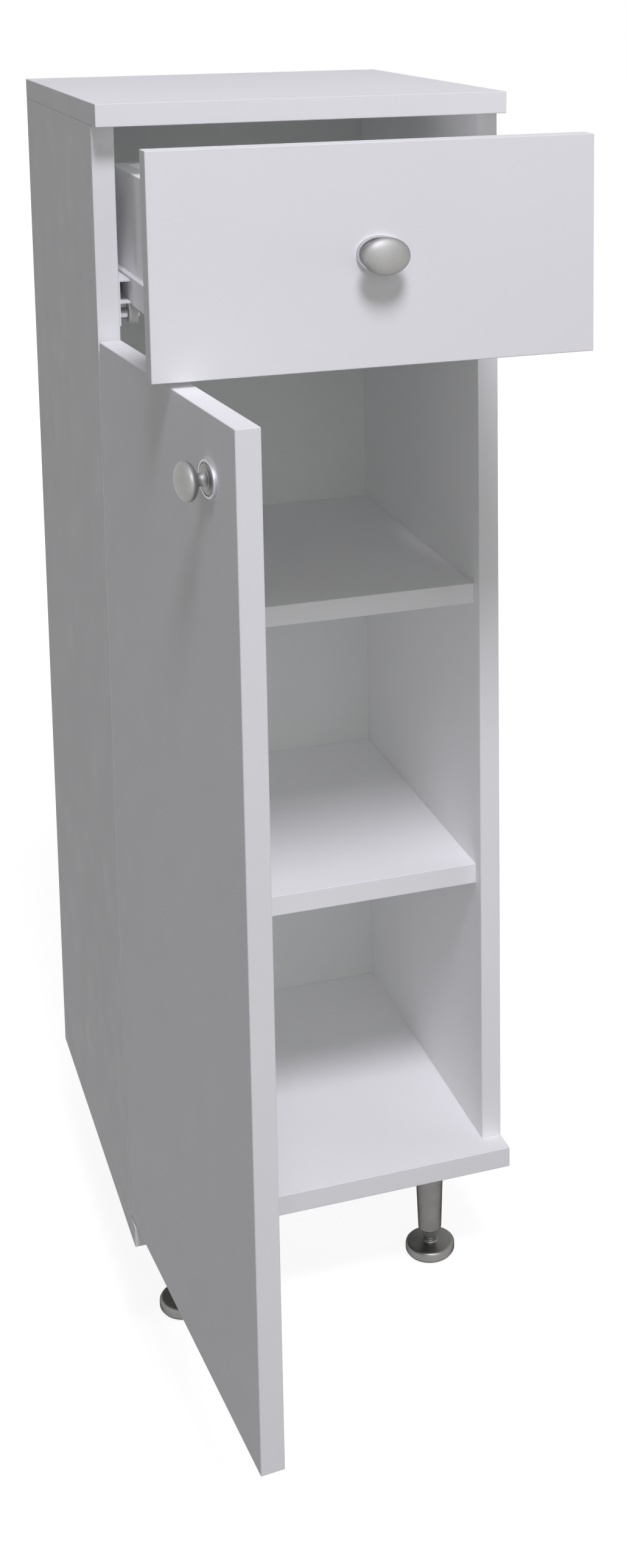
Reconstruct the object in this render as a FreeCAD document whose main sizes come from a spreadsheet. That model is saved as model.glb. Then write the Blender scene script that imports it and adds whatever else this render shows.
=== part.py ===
import FreeCAD, Part
import math
import os
import re
import Sketcher

# Driving dimensions in millimetres, and one angle in degrees
SIZES = {
    # Carcass boards, as measured over the outside without the legs
    "cab_width": 300,
    "cab_depth": 320,
    "carcass_height": 852,
    "board": 16,
    "edge_round": 0.6,
    "front_inset": 20,
    # Thin back, held in grooves
    "back_thick": 3,
    "back_inset": 8,
    "groove_depth": 6,
    "groove_play": 0.2,
    # Fixed shelves
    "shelf_space": 213,
    "shelf_setback": 10,
    # Glued dowels of the carcass: depth in the end of one board and in the face of the other
    "dowel_radius": 4,
    "dowel_end_depth": 22,
    "dowel_face_depth": 11,
    "dowel_inset": 40,
    # Door and drawer front, closed, with the gaps around them
    "front_setback": 1,
    "front_reveal": 1,
    "bottom_reveal": 2,
    "front_gap": 4,
    "top_reveal": 2,
    "drawer_front_height": 145,
    # How far the door and the drawer stand open
    "door_open_angle": 85.4,
    "drawer_pull": 162,
    # Hinges: one vertical pin each, inside the thickness of the door
    "hinge_inset": 80,
    "pivot_inset": 7,
    "pivot_depth": 7.6,
    "pin_radius": 2,
    "running_play": 0.05,
    "eye_radius": 3.5,
    "neck_half_width": 2,
    "neck_lead": 1.4,
    "neck_turn": 2.9,
    "arm_half_height": 3.6,
    "arm_thick": 3,
    "root_length": 30,
    "root_half_height": 7,
    "hinge_plate_thick": 2,
    "hinge_plate_length": 36,
    "hinge_plate_half_height": 20,
    "hinge_plate_setback": 8,
    "hinge_screw_rise": 14,
    "mortise_length": 24,
    "mortise_depth": 13.2,
    "mortise_half_height": 8,
    "housing_floor": 1,
    "housing_end": 2,
    "slot_half_height": 4,
    "wing_length": 24,
    "wing_thick": 1.5,
    "hinge_screw_radius": 1.75,
    "hinge_screw_length": 11,
    "hinge_screw_head_radius": 3.5,
    "hinge_screw_head_thick": 1.2,
    # Oval knobs
    "knob_width": 32,
    "knob_height": 24.5,
    "knob_reach": 21,
    "knob_head_depth": 12.4,
    "knob_base_width": 31,
    "knob_base_height": 23.5,
    "knob_base_thick": 2.6,
    "knob_rim_width": 1.6,
    "knob_ring_width": 1,
    "knob_ring_depth": 0.8,
    "knob_neck_radius": 6.5,
    "knob_waist_radius": 4,
    "knob_flare_radius": 4,
    "door_knob_edge": 49,
    "door_knob_drop": 40,
    "drawer_knob_rise": 74,
    "knob_screw_radius": 2,
    "knob_screw_grip": 8,
    "knob_screw_head_radius": 4.5,
    "knob_screw_head_thick": 2,
    # Drawer box
    "drawer_board": 12,
    "drawer_length": 260,
    "drawer_side_height": 90,
    "bottom_thick": 3,
    "bottom_rise": 8,
    "bottom_groove": 4,
    "drawer_dowel_radius": 3,
    "drawer_dowel_end_depth": 18,
    "drawer_dowel_face_depth": 8,
    # Roller runners of folded steel sheet
    "runner_space": 13,
    "sheet": 1.2,
    "rail_rise": 20,
    "rail_width": 4,
    "rail_height": 19.4,
    "rail_flange": 9,
    "rail_screw_radius": 1.5,
    "rail_screw_length": 12,
    "rail_screw_head_radius": 3,
    "runner_setback": 2,
    "runner_length": 268,
    "runner_reach": 8.4,
    "channel_rise": 1,
    "channel_play": 0.4,
    "ear_length": 30,
    "ear_drop": 7,
    "runner_screw_radius": 1.75,
    "runner_screw_length": 12,
    "runner_screw_head_radius": 3.2,
    "runner_screw_head_thick": 0.6,
    # Rollers and the axles riveted into rail and channel
    "roller_play": 0.05,
    "axle_radius": 2.5,
    "axle_collar_radius": 4,
    "axle_head_thick": 1,
    "axle_end_play": 0.3,
    "front_roller_radius": 8,
    "front_roller_width": 6.5,
    "front_roller_lead": 0.5,
    "front_roller_setback": 16,
    "rear_roller_radius": 7,
    "rear_roller_width": 5.8,
    "rear_roller_gap": 0.8,
    "rear_roller_inset": 10,
    # Legs and screw feet
    "leg_height": 100,
    "leg_inset_side": 48,
    "leg_inset_front": 58,
    "leg_plate_radius": 25,
    "leg_plate_thick": 3,
    "leg_top_radius": 12,
    "leg_end_radius": 9.4,
    "leg_end_rise": 22.4,
    "leg_end_chamfer": 0.6,
    "leg_bore_spare": 2,
    "leg_screw_circle": 18.5,
    "leg_screw_radius": 2,
    "leg_screw_length": 13,
    "leg_screw_head_radius": 3.8,
    "leg_screw_head_thick": 1.5,
    "bush_radius": 7,
    "bush_end_radius": 5.8,
    "bush_end_rise": 15,
    "bush_spigot_radius": 5.5,
    "bush_spigot_length": 20,
    "stud_radius": 4,
    "stud_seat_rise": 3,
    "stud_length": 35.4,
    "foot_radius": 20,
    "foot_under_radius": 18,
    "foot_under_rise": 1.5,
    "foot_side_rise": 4.2,
    "foot_top_rise": 10.8,
    "foot_rim_round": 2.8,
    "collar_radius": 5.3,
    "collar_rise": 13.3,
    "collar_round": 1.4,
    "pad_radius": 16,
    "pad_thick": 2,
    # How far a cutting solid runs past the face that it opens
    "overrun": 1,
}

# Places along a length, as shares of it
RUNNER_SCREW_SHARES = (0.14, 0.5, 0.86)
RAIL_SCREW_SHARES = (0.08, 0.5, 0.82)
WING_SCREW_SHARES = (0.32, 0.78)
DRAWER_DOWEL_SHARES = (0.45, 0.8)

# Leg plate screws on their circle, as shares of its radius
LEG_SCREW_SHARES = ((0, -1), (0.866, 0.5), (-0.866, 0.5))

doc = FreeCAD.newDocument("bathroom_cabinet")
sheet = doc.addObject("Spreadsheet::Sheet", "sizes")
for row, (alias, size) in enumerate(SIZES.items(), start=1):
    sheet.set(f"A{row}", alias)
    sheet.set(f"B{row}", str(size))
    sheet.setAlias(f"B{row}", alias)
doc.recompute()

# Heights above the floor and places in the cabinet, as formulas in the names of the sheet.
# x runs right from the left side, y runs back from the front edge of the top, z runs up from the floor.
BASE_TOP_Z = "(leg_height + board)"
TOP_Z = "(leg_height + carcass_height - board)"
SIDE_HEIGHT = "(carcass_height - 2 * board)"
RIGHT_X = "(cab_width - board)"
BACK_Y = "(cab_depth - back_inset - back_thick)"
GROOVE_X = "(board - groove_depth)"
GROOVE_SPAN = "(cab_width - 2 * board + 2 * groove_depth)"
SHELF_Y = "(front_inset + shelf_setback)"
LOWER_SHELF_Z = f"({BASE_TOP_Z} + shelf_space)"
UPPER_SHELF_Z = f"({LOWER_SHELF_Z} + board + shelf_space)"
FRONT_BACK_Y = "(front_setback + board)"
FRONT_WIDTH = "(cab_width - 2 * front_reveal)"
DOOR_Z = f"({BASE_TOP_Z} + bottom_reveal)"
DRAWER_Z = f"({TOP_Z} - top_reveal - drawer_front_height)"
DOOR_HEIGHT = f"({DRAWER_Z} - front_gap - {DOOR_Z})"
PIVOT_X = "(front_reveal + pivot_inset)"
PIVOT_Y = "(front_setback + pivot_depth)"
HINGE_HEIGHTS = {
    "upper": f"({DOOR_Z} + {DOOR_HEIGHT} - hinge_inset)",
    "lower": f"({DOOR_Z} + hinge_inset)",
}
RAIL_Z = f"({DRAWER_Z} + rail_rise)"
DRAWER_X = "(board + runner_space)"
RAIL_X = f"({DRAWER_X} - rail_width)"
BOX_Z = f"({RAIL_Z} + sheet)"
BOTTOM_Z = f"({BOX_Z} + bottom_rise)"
BOX_INSIDE_X = f"({DRAWER_X} + drawer_board)"
RUNNER_Y = "(front_inset + runner_setback)"
CHANNEL_Z = f"({RAIL_Z} + channel_rise)"
CHANNEL_TOP_Z = f"({CHANNEL_Z} + 2 * sheet + 2 * rear_roller_radius + channel_play)"
FRONT_AXLE_Y = "(front_inset + front_roller_setback)"
FRONT_AXLE_Z = f"({RAIL_Z} - roller_play - front_roller_radius)"
FRONT_ROLLER_X = f"({RAIL_X} - front_roller_lead)"
REAR_AXLE_Y = f"({FRONT_BACK_Y} + drawer_length - rear_roller_inset)"
REAR_AXLE_Z = f"({CHANNEL_Z} + sheet + roller_play + rear_roller_radius)"
REAR_ROLLER_X = f"({RAIL_X} - rear_roller_gap - rear_roller_width)"
LEG_PLATE_Z = "(leg_height - leg_plate_thick)"


def bound(formula):
    """The formula as an expression that reads the cells of the sheet."""
    return re.sub(r"[a-z]\w*", lambda name: f"sizes.{name.group()}", formula)


def value(alias):
    """The number in one cell of the sheet."""
    return float(sheet.get(alias))


def tie(thing, **formulas):
    """Binds properties of an object to formulas."""
    for name, formula in formulas.items():
        thing.setExpression(name, bound(formula))


def set_at(solid, place):
    """Binds the place of a solid to three formulas."""
    for axis, formula in zip("xyz", place):
        solid.setExpression(f"Placement.Base.{axis}", bound(formula))
    return solid


def block(name, low, sides):
    """A rectangular block from its low corner and its sides."""
    solid = doc.addObject("Part::Box", name)
    tie(solid, Length=sides[0], Width=sides[1], Height=sides[2])
    return set_at(solid, low)


AXIS_TURNS = {
    "x": FreeCAD.Rotation(FreeCAD.Vector(0, 1, 0), 90),
    "y": FreeCAD.Rotation(FreeCAD.Vector(1, 0, 0), -90),
    "z": FreeCAD.Rotation(),
}


def rod(name, axis, start, radius, length):
    """A round rod that runs along an axis from the middle of its first end."""
    solid = doc.addObject("Part::Cylinder", name)
    solid.Placement.Rotation = AXIS_TURNS[axis]
    tie(solid, Radius=radius, Height=length)
    return set_at(solid, start)


def taper(name, axis, start, first_radius, last_radius, length):
    """A cone stub that runs along an axis."""
    solid = doc.addObject("Part::Cone", name)
    solid.Placement.Rotation = AXIS_TURNS[axis]
    tie(solid, Radius1=first_radius, Radius2=last_radius, Height=length)
    return set_at(solid, start)


def joined(name, pieces):
    """Several solids fused into one."""
    solid = doc.addObject("Part::MultiFuse", name)
    solid.Shapes = pieces
    return solid


def group(name, pieces):
    """Several separate solids kept side by side."""
    gathered = doc.addObject("Part::Compound", name)
    gathered.Links = pieces
    return gathered


def cut(name, solid, tools):
    """A solid less the solids that cut it."""
    left = doc.addObject("Part::Cut", name)
    left.Base = solid
    left.Tool = tools[0] if len(tools) == 1 else group(f"{name}_tools", tools)
    return left


def mirrored(name, solid):
    """The same piece on the other side of the cabinet's middle plane."""
    other = doc.addObject("Part::Mirroring", name)
    other.Source = solid
    other.Normal = FreeCAD.Vector(1, 0, 0)
    other.setExpression("Base.x", bound("cab_width / 2"))
    return other


def sketch_on(body, name, role, offset="0"):
    """A sketch on one of the body's own origin planes, moved along the plane's normal."""
    plane = next(feature for feature in body.Origin.OriginFeatures if feature.Role == role)
    sketch = body.newObject("Sketcher::SketchObject", name)
    sketch.AttachmentSupport = (plane, [""])
    sketch.MapMode = "FlatFace"
    sketch.setExpression("AttachmentOffset.Base.z", bound(offset))
    return sketch


def draw_polygon(sketch, corners):
    """A closed outline with every corner held by two bound distances."""
    first = sketch.GeometryCount
    count = len(corners)
    turns = [2 * math.pi * index / count for index in range(count)]
    spots = [FreeCAD.Vector(math.cos(turn), math.sin(turn), 0) for turn in turns]
    for index in range(count):
        sketch.addGeometry(Part.LineSegment(spots[index], spots[(index + 1) % count]))
    for index in range(count):
        follower = first + (index + 1) % count
        sketch.addConstraint(Sketcher.Constraint("Coincident", first + index, 2, follower, 1))
    for index, corner in enumerate(corners):
        for kind, formula, start in zip(("DistanceX", "DistanceY"), corner, spots[index]):
            datum = sketch.addConstraint(Sketcher.Constraint(kind, first + index, 1, start))
            sketch.setExpression(f"Constraints[{datum}]", bound(formula))


def padded_body(name, role, offset, outlines, length, reversed_pad=False):
    """A body padded from closed outlines, the second of which is a hollow."""
    body = doc.addObject("PartDesign::Body", name)
    sketch = sketch_on(body, f"{name}_outline", role, offset)
    for corners in outlines:
        draw_polygon(sketch, corners)
    pad = body.newObject("PartDesign::Pad", f"{name}_pad")
    pad.Profile = sketch
    pad.Reversed = reversed_pad
    tie(pad, Length=length)
    return body


def turned_body(name, corners):
    """A body turned about its own vertical axis from corners given as radius and height."""
    body = doc.addObject("PartDesign::Body", name)
    sketch = sketch_on(body, f"{name}_profile", "XZ_Plane")
    draw_polygon(sketch, corners)
    turning = body.newObject("PartDesign::Revolution", f"{name}_turning")
    turning.Profile = sketch
    turning.ReferenceAxis = (sketch, ["V_Axis"])
    turning.Angle = 360
    return body


def round_edges(body, name, edges, radius):
    """Rounds the named edges of a body, or all of them."""
    sharp = body.Tip
    rounding = body.newObject("PartDesign::Fillet", name)
    rounding.Base = (sharp, edges or [""])
    rounding.UseAllEdges = not edges
    tie(rounding, Radius=radius)


def edge_at(body, radius, height):
    """The name of the round edge of a turned body at a radius and a height."""
    doc.recompute()
    near = value("running_play")
    for index, edge in enumerate(body.Shape.Edges, start=1):
        box = edge.BoundBox
        level = abs(box.ZMax - height) < near and abs(box.ZMin - height) < near
        if level and abs(box.XMax - radius) < near:
            return f"Edge{index}"
    raise ValueError(f"no edge at {radius}, {height}")


def faced_board(name, low, sides):
    """A melamine-faced board with its edges eased."""
    x, y, z = low
    right = f"({x} + {sides[0]})"
    rear = f"({y} + {sides[1]})"
    corners = [(x, y), (right, y), (right, rear), (x, rear)]
    body = padded_body(name, "XY_Plane", z, [corners], sides[2])
    round_edges(body, f"{name}_eased", None, "edge_round")
    return body


def screw(name, axis, start, length, radius, head_start, head_length, head_radius):
    """A screw as a plain shank and a round head."""
    shank = rod(f"{name}_shank", axis, start, radius, length)
    head = rod(f"{name}_head", axis, head_start, head_radius, head_length)
    return joined(name, [shank, head])


# Where the cabinet, the open door and the pulled drawer stand: the origin is on the floor under the middle
CABINET = FreeCAD.Placement(
    FreeCAD.Vector(-value("cab_width") / 2, -value("cab_depth") / 2, 0), FreeCAD.Rotation())
PIVOT = FreeCAD.Vector(
    value("front_reveal") + value("pivot_inset"), value("front_setback") + value("pivot_depth"), 0)
SWING = FreeCAD.Rotation(FreeCAD.Vector(0, 0, -1), value("door_open_angle"))
DOOR = CABINET * FreeCAD.Placement(FreeCAD.Vector(), SWING, PIVOT)
DRAWER = CABINET * FreeCAD.Placement(FreeCAD.Vector(0, -value("drawer_pull"), 0), FreeCAD.Rotation())

nodes = []


def keep(label, solid, frame):
    """Names a finished sub-part and stands it in its place."""
    solid.Label = label
    solid.Placement = frame
    nodes.append(solid)


# Dowels that join the sides to the top and the base, and the shelves to the sides
dowels = []
carcass_dowel_length = "(dowel_end_depth + dowel_face_depth)"
side_dowel_places = ("front_inset + dowel_inset", "(front_inset + cab_depth) / 2", "cab_depth - dowel_inset")
for x in ("board / 2", "cab_width - board / 2"):
    for y in side_dowel_places:
        for z in (f"{BASE_TOP_Z} - dowel_face_depth", f"{TOP_Z} - dowel_end_depth"):
            dowels.append(rod("dowel", "z", (x, y, z), "dowel_radius", carcass_dowel_length))
shelf_dowels = []
for z in (LOWER_SHELF_Z, UPPER_SHELF_Z):
    for x in ("board - dowel_face_depth", f"{RIGHT_X} - dowel_end_depth"):
        for y in (f"{SHELF_Y} + dowel_inset", f"{BACK_Y} - dowel_inset"):
            place = (x, y, f"{z} + board / 2")
            shelf_dowels.append(rod("shelf_dowel", "x", place, "dowel_radius", carcass_dowel_length))

# Screws of the legs, the runners and the hinge plates, which also cut their own holes
LEG_PLACES = {
    "front_left": ("leg_inset_side", "leg_inset_front"),
    "front_right": ("(cab_width - leg_inset_side)", "leg_inset_front"),
    "back_left": ("leg_inset_side", "(cab_depth - leg_inset_front)"),
    "back_right": ("(cab_width - leg_inset_side)", "(cab_depth - leg_inset_front)"),
}
leg_screws = []
for leg_x, leg_y in LEG_PLACES.values():
    for share_x, share_y in LEG_SCREW_SHARES:
        x = f"{leg_x} + leg_screw_circle * {share_x}"
        y = f"{leg_y} + leg_screw_circle * {share_y}"
        leg_screws.append(screw(
            "leg_screw", "z", (x, y, LEG_PLATE_Z), "leg_plate_thick + leg_screw_length", "leg_screw_radius",
            (x, y, f"{LEG_PLATE_Z} - leg_screw_head_thick"), "leg_screw_head_thick", "leg_screw_head_radius"))
left_runner_screws = []
for share in RUNNER_SCREW_SHARES:
    y = f"{RUNNER_Y} + runner_length * {share}"
    left_runner_screws.append(screw(
        "runner_screw", "x", ("board - runner_screw_length", y, REAR_AXLE_Z), "runner_screw_length + sheet",
        "runner_screw_radius", ("board + sheet", y, REAR_AXLE_Z), "runner_screw_head_thick",
        "runner_screw_head_radius"))
right_runner_screws = [mirrored("right_runner_screw", piece) for piece in left_runner_screws]
hinge_screws = []
HINGE_PLATE_Y = "(front_inset + hinge_plate_setback)"
for z in HINGE_HEIGHTS.values():
    for rise in ("+ hinge_screw_rise", "- hinge_screw_rise"):
        y = f"{HINGE_PLATE_Y} + hinge_plate_length / 2"
        hinge_screws.append(screw(
            "hinge_screw", "x", ("board - hinge_screw_length", y, f"{z} {rise}"),
            "hinge_screw_length + hinge_plate_thick", "hinge_screw_radius",
            ("board + hinge_plate_thick", y, f"{z} {rise}"), "hinge_screw_head_thick",
            "hinge_screw_head_radius"))

# Top and base: full-size boards that cover the ends of the sides
back_groove_y = f"{BACK_Y} - groove_play"
back_groove_width = "back_thick + 2 * groove_play"
top_groove = block(
    "top_groove", (GROOVE_X, back_groove_y, f"{TOP_Z} - overrun"),
    (GROOVE_SPAN, back_groove_width, "overrun + groove_depth"))
base_groove = block(
    "base_groove", (GROOVE_X, back_groove_y, f"{BASE_TOP_Z} - groove_depth"),
    (GROOVE_SPAN, back_groove_width, "overrun + groove_depth"))
top_board = faced_board("top_board", ("0", "0", TOP_Z), ("cab_width", "cab_depth", "board"))
base_board = faced_board("base_board", ("0", "0", "leg_height"), ("cab_width", "cab_depth", "board"))
dowel_set = group("dowel_set", dowels)
leg_screw_set = group("leg_screw_set", leg_screws)
keep("top_panel", cut("top_cut", cut("top_grooved", top_board, [top_groove]), [dowel_set]), CABINET)
base_grooved = cut("base_grooved", base_board, [base_groove])
base_doweled = cut("base_doweled", base_grooved, [dowel_set])
keep("base_panel", cut("base_cut", base_doweled, [leg_screw_set]), CABINET)

# Sides between top and base, set back at the front so that door and drawer sit under the top
shelf_dowel_set = group("shelf_dowel_set", shelf_dowels)
SIDE_FASTENERS = {
    "left_side": ("0", GROOVE_X, left_runner_screws + hinge_screws),
    "right_side": (RIGHT_X, f"{RIGHT_X} - overrun", right_runner_screws),
}
for label, (x, groove_x, fasteners) in SIDE_FASTENERS.items():
    side_board = faced_board(
        f"{label}_board", (x, "front_inset", BASE_TOP_Z), ("board", "cab_depth - front_inset", SIDE_HEIGHT))
    side_groove = block(
        f"{label}_groove", (groove_x, back_groove_y, f"{BASE_TOP_Z} - overrun"),
        ("groove_depth + overrun", back_groove_width, f"{SIDE_HEIGHT} + 2 * overrun"))
    grooved = cut(f"{label}_grooved", side_board, [side_groove])
    doweled = cut(f"{label}_doweled", grooved, [dowel_set])
    shelved = cut(f"{label}_shelved", doweled, [shelf_dowel_set])
    keep(label, cut(f"{label}_cut", shelved, fasteners), CABINET)

# Thin back panel in the grooves
back_span = f"{GROOVE_SPAN} - 2 * groove_play"
back_height = f"{SIDE_HEIGHT} + 2 * groove_depth - 2 * groove_play"
back_low = (f"{GROOVE_X} + groove_play", BACK_Y, f"{BASE_TOP_Z} - groove_depth + groove_play")
back_sheet = block("back_sheet", back_low, (back_span, "back_thick", back_height))
keep("back_panel", group("back_piece", [back_sheet]), CABINET)

# Two fixed shelves, set back behind the front edges of the sides
for label, z in (("lower_shelf", LOWER_SHELF_Z), ("upper_shelf", UPPER_SHELF_Z)):
    shelf_sides = ("cab_width - 2 * board", f"{BACK_Y} - {SHELF_Y}", "board")
    shelf_board = faced_board(f"{label}_board", ("board", SHELF_Y, z), shelf_sides)
    keep(label, cut(f"{label}_cut", shelf_board, [shelf_dowel_set]), CABINET)
keep("carcass_dowels", group("carcass_dowel_pieces", [dowel_set]), CABINET)
keep("shelf_dowels", group("shelf_dowel_pieces", [shelf_dowel_set]), CABINET)

# Legs: a tapered leg under a round plate, with a bush that takes the stud of the foot
LEG_BORE_TOP = "(leg_end_rise + bush_spigot_length + leg_bore_spare)"
leg_corners = [
    ("bush_spigot_radius", "leg_end_rise"),
    ("leg_end_radius - leg_end_chamfer", "leg_end_rise"),
    ("leg_end_radius", "leg_end_rise + leg_end_chamfer"),
    ("leg_top_radius", LEG_PLATE_Z),
    ("0", LEG_PLATE_Z),
    ("0", LEG_BORE_TOP),
    ("bush_spigot_radius", LEG_BORE_TOP),
]
bush_corners = [
    ("stud_radius + running_play", "bush_end_rise"),
    ("bush_end_radius", "bush_end_rise"),
    ("bush_radius", "(bush_end_rise + leg_end_rise) / 2"),
    ("bush_radius", "leg_end_rise"),
    ("bush_spigot_radius", "leg_end_rise"),
    ("bush_spigot_radius", "leg_end_rise + bush_spigot_length"),
    ("stud_radius + running_play", "leg_end_rise + bush_spigot_length"),
]
foot_corners = [
    ("0", "pad_thick"),
    ("pad_radius", "pad_thick"),
    ("pad_radius", "foot_under_rise"),
    ("foot_under_radius", "foot_under_rise"),
    ("foot_radius", "foot_side_rise"),
    ("foot_radius", "foot_top_rise"),
    ("collar_radius", "foot_top_rise"),
    ("collar_radius", "collar_rise"),
    ("stud_radius", "collar_rise"),
    ("stud_radius", "stud_seat_rise"),
    ("0", "stud_seat_rise"),
]
leg_plates = []
bushes = []
for label, (leg_x, leg_y) in LEG_PLACES.items():
    leg_place = (leg_x, leg_y, "0")
    leg = set_at(turned_body(f"{label}_leg_body", leg_corners), leg_place)
    keep(f"{label}_leg", group(f"{label}_leg_piece", [leg]), CABINET)
    bushes.append(set_at(turned_body(f"{label}_bush_body", bush_corners), leg_place))
    plate = rod(
        f"{label}_plate", "z", (leg_x, leg_y, LEG_PLATE_Z), "leg_plate_radius", "leg_plate_thick")
    leg_plates.append(cut(f"{label}_plate_cut", plate, [leg_screw_set]))
    foot_body = turned_body(f"{label}_foot_body", foot_corners)
    rim = edge_at(foot_body, value("foot_radius"), value("foot_top_rise"))
    round_edges(foot_body, f"{label}_foot_rim", [rim], "foot_rim_round")
    neck = edge_at(foot_body, value("collar_radius"), value("foot_top_rise"))
    round_edges(foot_body, f"{label}_foot_neck", [neck], "collar_round")
    keep(f"{label}_foot", group(f"{label}_foot_piece", [set_at(foot_body, leg_place)]), CABINET)
    stud = rod(
        f"{label}_stud", "z", (leg_x, leg_y, "stud_seat_rise"), "stud_radius", "stud_length")
    keep(f"{label}_foot_stud", group(f"{label}_stud_piece", [stud]), CABINET)
    pad = rod(f"{label}_pad", "z", leg_place, "pad_radius", "pad_thick")
    keep(f"{label}_foot_pad", group(f"{label}_pad_piece", [pad]), CABINET)
keep("leg_plates", group("leg_plate_pieces", leg_plates), CABINET)
keep("leg_bushes", group("bush_pieces", bushes), CABINET)
keep("leg_plate_screws", group("leg_screw_pieces", [leg_screw_set]), CABINET)

# Hinge parts on the left side: a plate and an arm whose eye turns on the pin
ARM_X = "(board + hinge_plate_thick)"
ARM_OUTER_X = f"({ARM_X} + arm_thick)"
ROOT_END_Y = f"({HINGE_PLATE_Y} + root_length)"
NECK_Y = f"({FRONT_BACK_Y} - neck_lead)"
neck_corners = [
    (PIVOT_X, f"{PIVOT_Y} - neck_half_width"),
    (ARM_OUTER_X, NECK_Y),
    (ARM_OUTER_X, ROOT_END_Y),
    (ARM_X, ROOT_END_Y),
    (ARM_X, f"{NECK_Y} + neck_turn"),
    (PIVOT_X, f"{PIVOT_Y} + neck_half_width"),
]
hinge_plates = []
hinge_pins = []
wing_screws = []
HOUSING_Y = f"({FRONT_BACK_Y} - mortise_depth)"
WING_X = "(front_reveal + mortise_length)"
for level, z in HINGE_HEIGHTS.items():
    plate = block(
        f"{level}_hinge_plate", ("board", HINGE_PLATE_Y, f"{z} - hinge_plate_half_height"),
        ("hinge_plate_thick", "hinge_plate_length", "2 * hinge_plate_half_height"))
    hinge_plates.append(cut(f"{level}_hinge_plate_cut", plate, hinge_screws))
    eye = rod(
        f"{level}_eye", "z", (PIVOT_X, PIVOT_Y, f"{z} - arm_half_height"), "eye_radius",
        "2 * arm_half_height")
    neck = padded_body(
        f"{level}_neck", "XY_Plane", f"{z} - arm_half_height", [neck_corners], "2 * arm_half_height")
    root = block(
        f"{level}_root", (ARM_X, HINGE_PLATE_Y, f"{z} - root_half_height"),
        ("arm_thick", "root_length", "2 * root_half_height"))
    eye_bore = rod(
        f"{level}_eye_bore", "z", (PIVOT_X, PIVOT_Y, f"{z} - arm_half_height - overrun"),
        "pin_radius + running_play", "2 * arm_half_height + 2 * overrun")
    arm = cut(f"{level}_arm", joined(f"{level}_arm_joined", [eye, neck, root]), [eye_bore])
    keep(f"{level}_hinge_arm", arm, CABINET)

    # Housing let into the back of the door, open to its hinge edge so that the arm can swing out
    pin = rod(
        f"{level}_pin", "z", (PIVOT_X, PIVOT_Y, f"{z} - mortise_half_height"), "pin_radius",
        "2 * mortise_half_height")
    hinge_pins.append(pin)
    level_screws = []
    for share in WING_SCREW_SHARES:
        x = f"{WING_X} + wing_length * {share}"
        level_screws.append(screw(
            f"{level}_wing_screw", "y", (x, f"{FRONT_BACK_Y} - hinge_screw_length", z),
            "hinge_screw_length + wing_thick", "hinge_screw_radius", (x, f"{FRONT_BACK_Y} + wing_thick", z),
            "hinge_screw_head_thick", "hinge_screw_head_radius"))
    wing_screws += level_screws
    shell = block(
        f"{level}_shell", ("front_reveal", HOUSING_Y, f"{z} - mortise_half_height"),
        ("mortise_length", "mortise_depth", "2 * mortise_half_height"))
    wing = block(
        f"{level}_wing", (f"{WING_X} - housing_end", FRONT_BACK_Y, f"{z} - mortise_half_height"),
        ("housing_end + wing_length", "wing_thick", "2 * mortise_half_height"))
    slot = block(
        f"{level}_slot", ("front_reveal - overrun", f"{HOUSING_Y} + housing_floor", f"{z} - slot_half_height"),
        ("overrun + mortise_length - housing_end", "mortise_depth + overrun", "2 * slot_half_height"))
    shell_joined = joined(f"{level}_shell_joined", [shell, wing])
    housing = cut(f"{level}_housing", shell_joined, [slot] + level_screws)
    keep(f"{level}_hinge_housing", cut(f"{level}_housing_bored", housing, [pin]), DOOR)
keep("hinge_plates", group("hinge_plate_pieces", hinge_plates), CABINET)
keep("hinge_plate_screws", group("hinge_screw_pieces", hinge_screws), CABINET)
keep("hinge_pins", group("hinge_pin_pieces", hinge_pins), DOOR)
wing_screw_set = group("wing_screw_set", wing_screws)
keep("hinge_housing_screws", group("wing_screw_pieces", [wing_screw_set]), DOOR)


def oval_disc(name, start, width, height, thick):
    """An oval disc standing on the level of its start."""
    outline = doc.addObject("Part::Ellipse", f"{name}_outline")
    tie(outline, MajorRadius=f"({width}) / 2", MinorRadius=f"({height}) / 2")
    set_at(outline, ("0", "0", start))
    disc = doc.addObject("Part::Extrusion", name)
    disc.Base = outline
    disc.Dir = FreeCAD.Vector(0, 0, 1)
    disc.DirMode = "Custom"
    disc.Solid = True
    tie(disc, LengthFwd=thick)
    return disc


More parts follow.
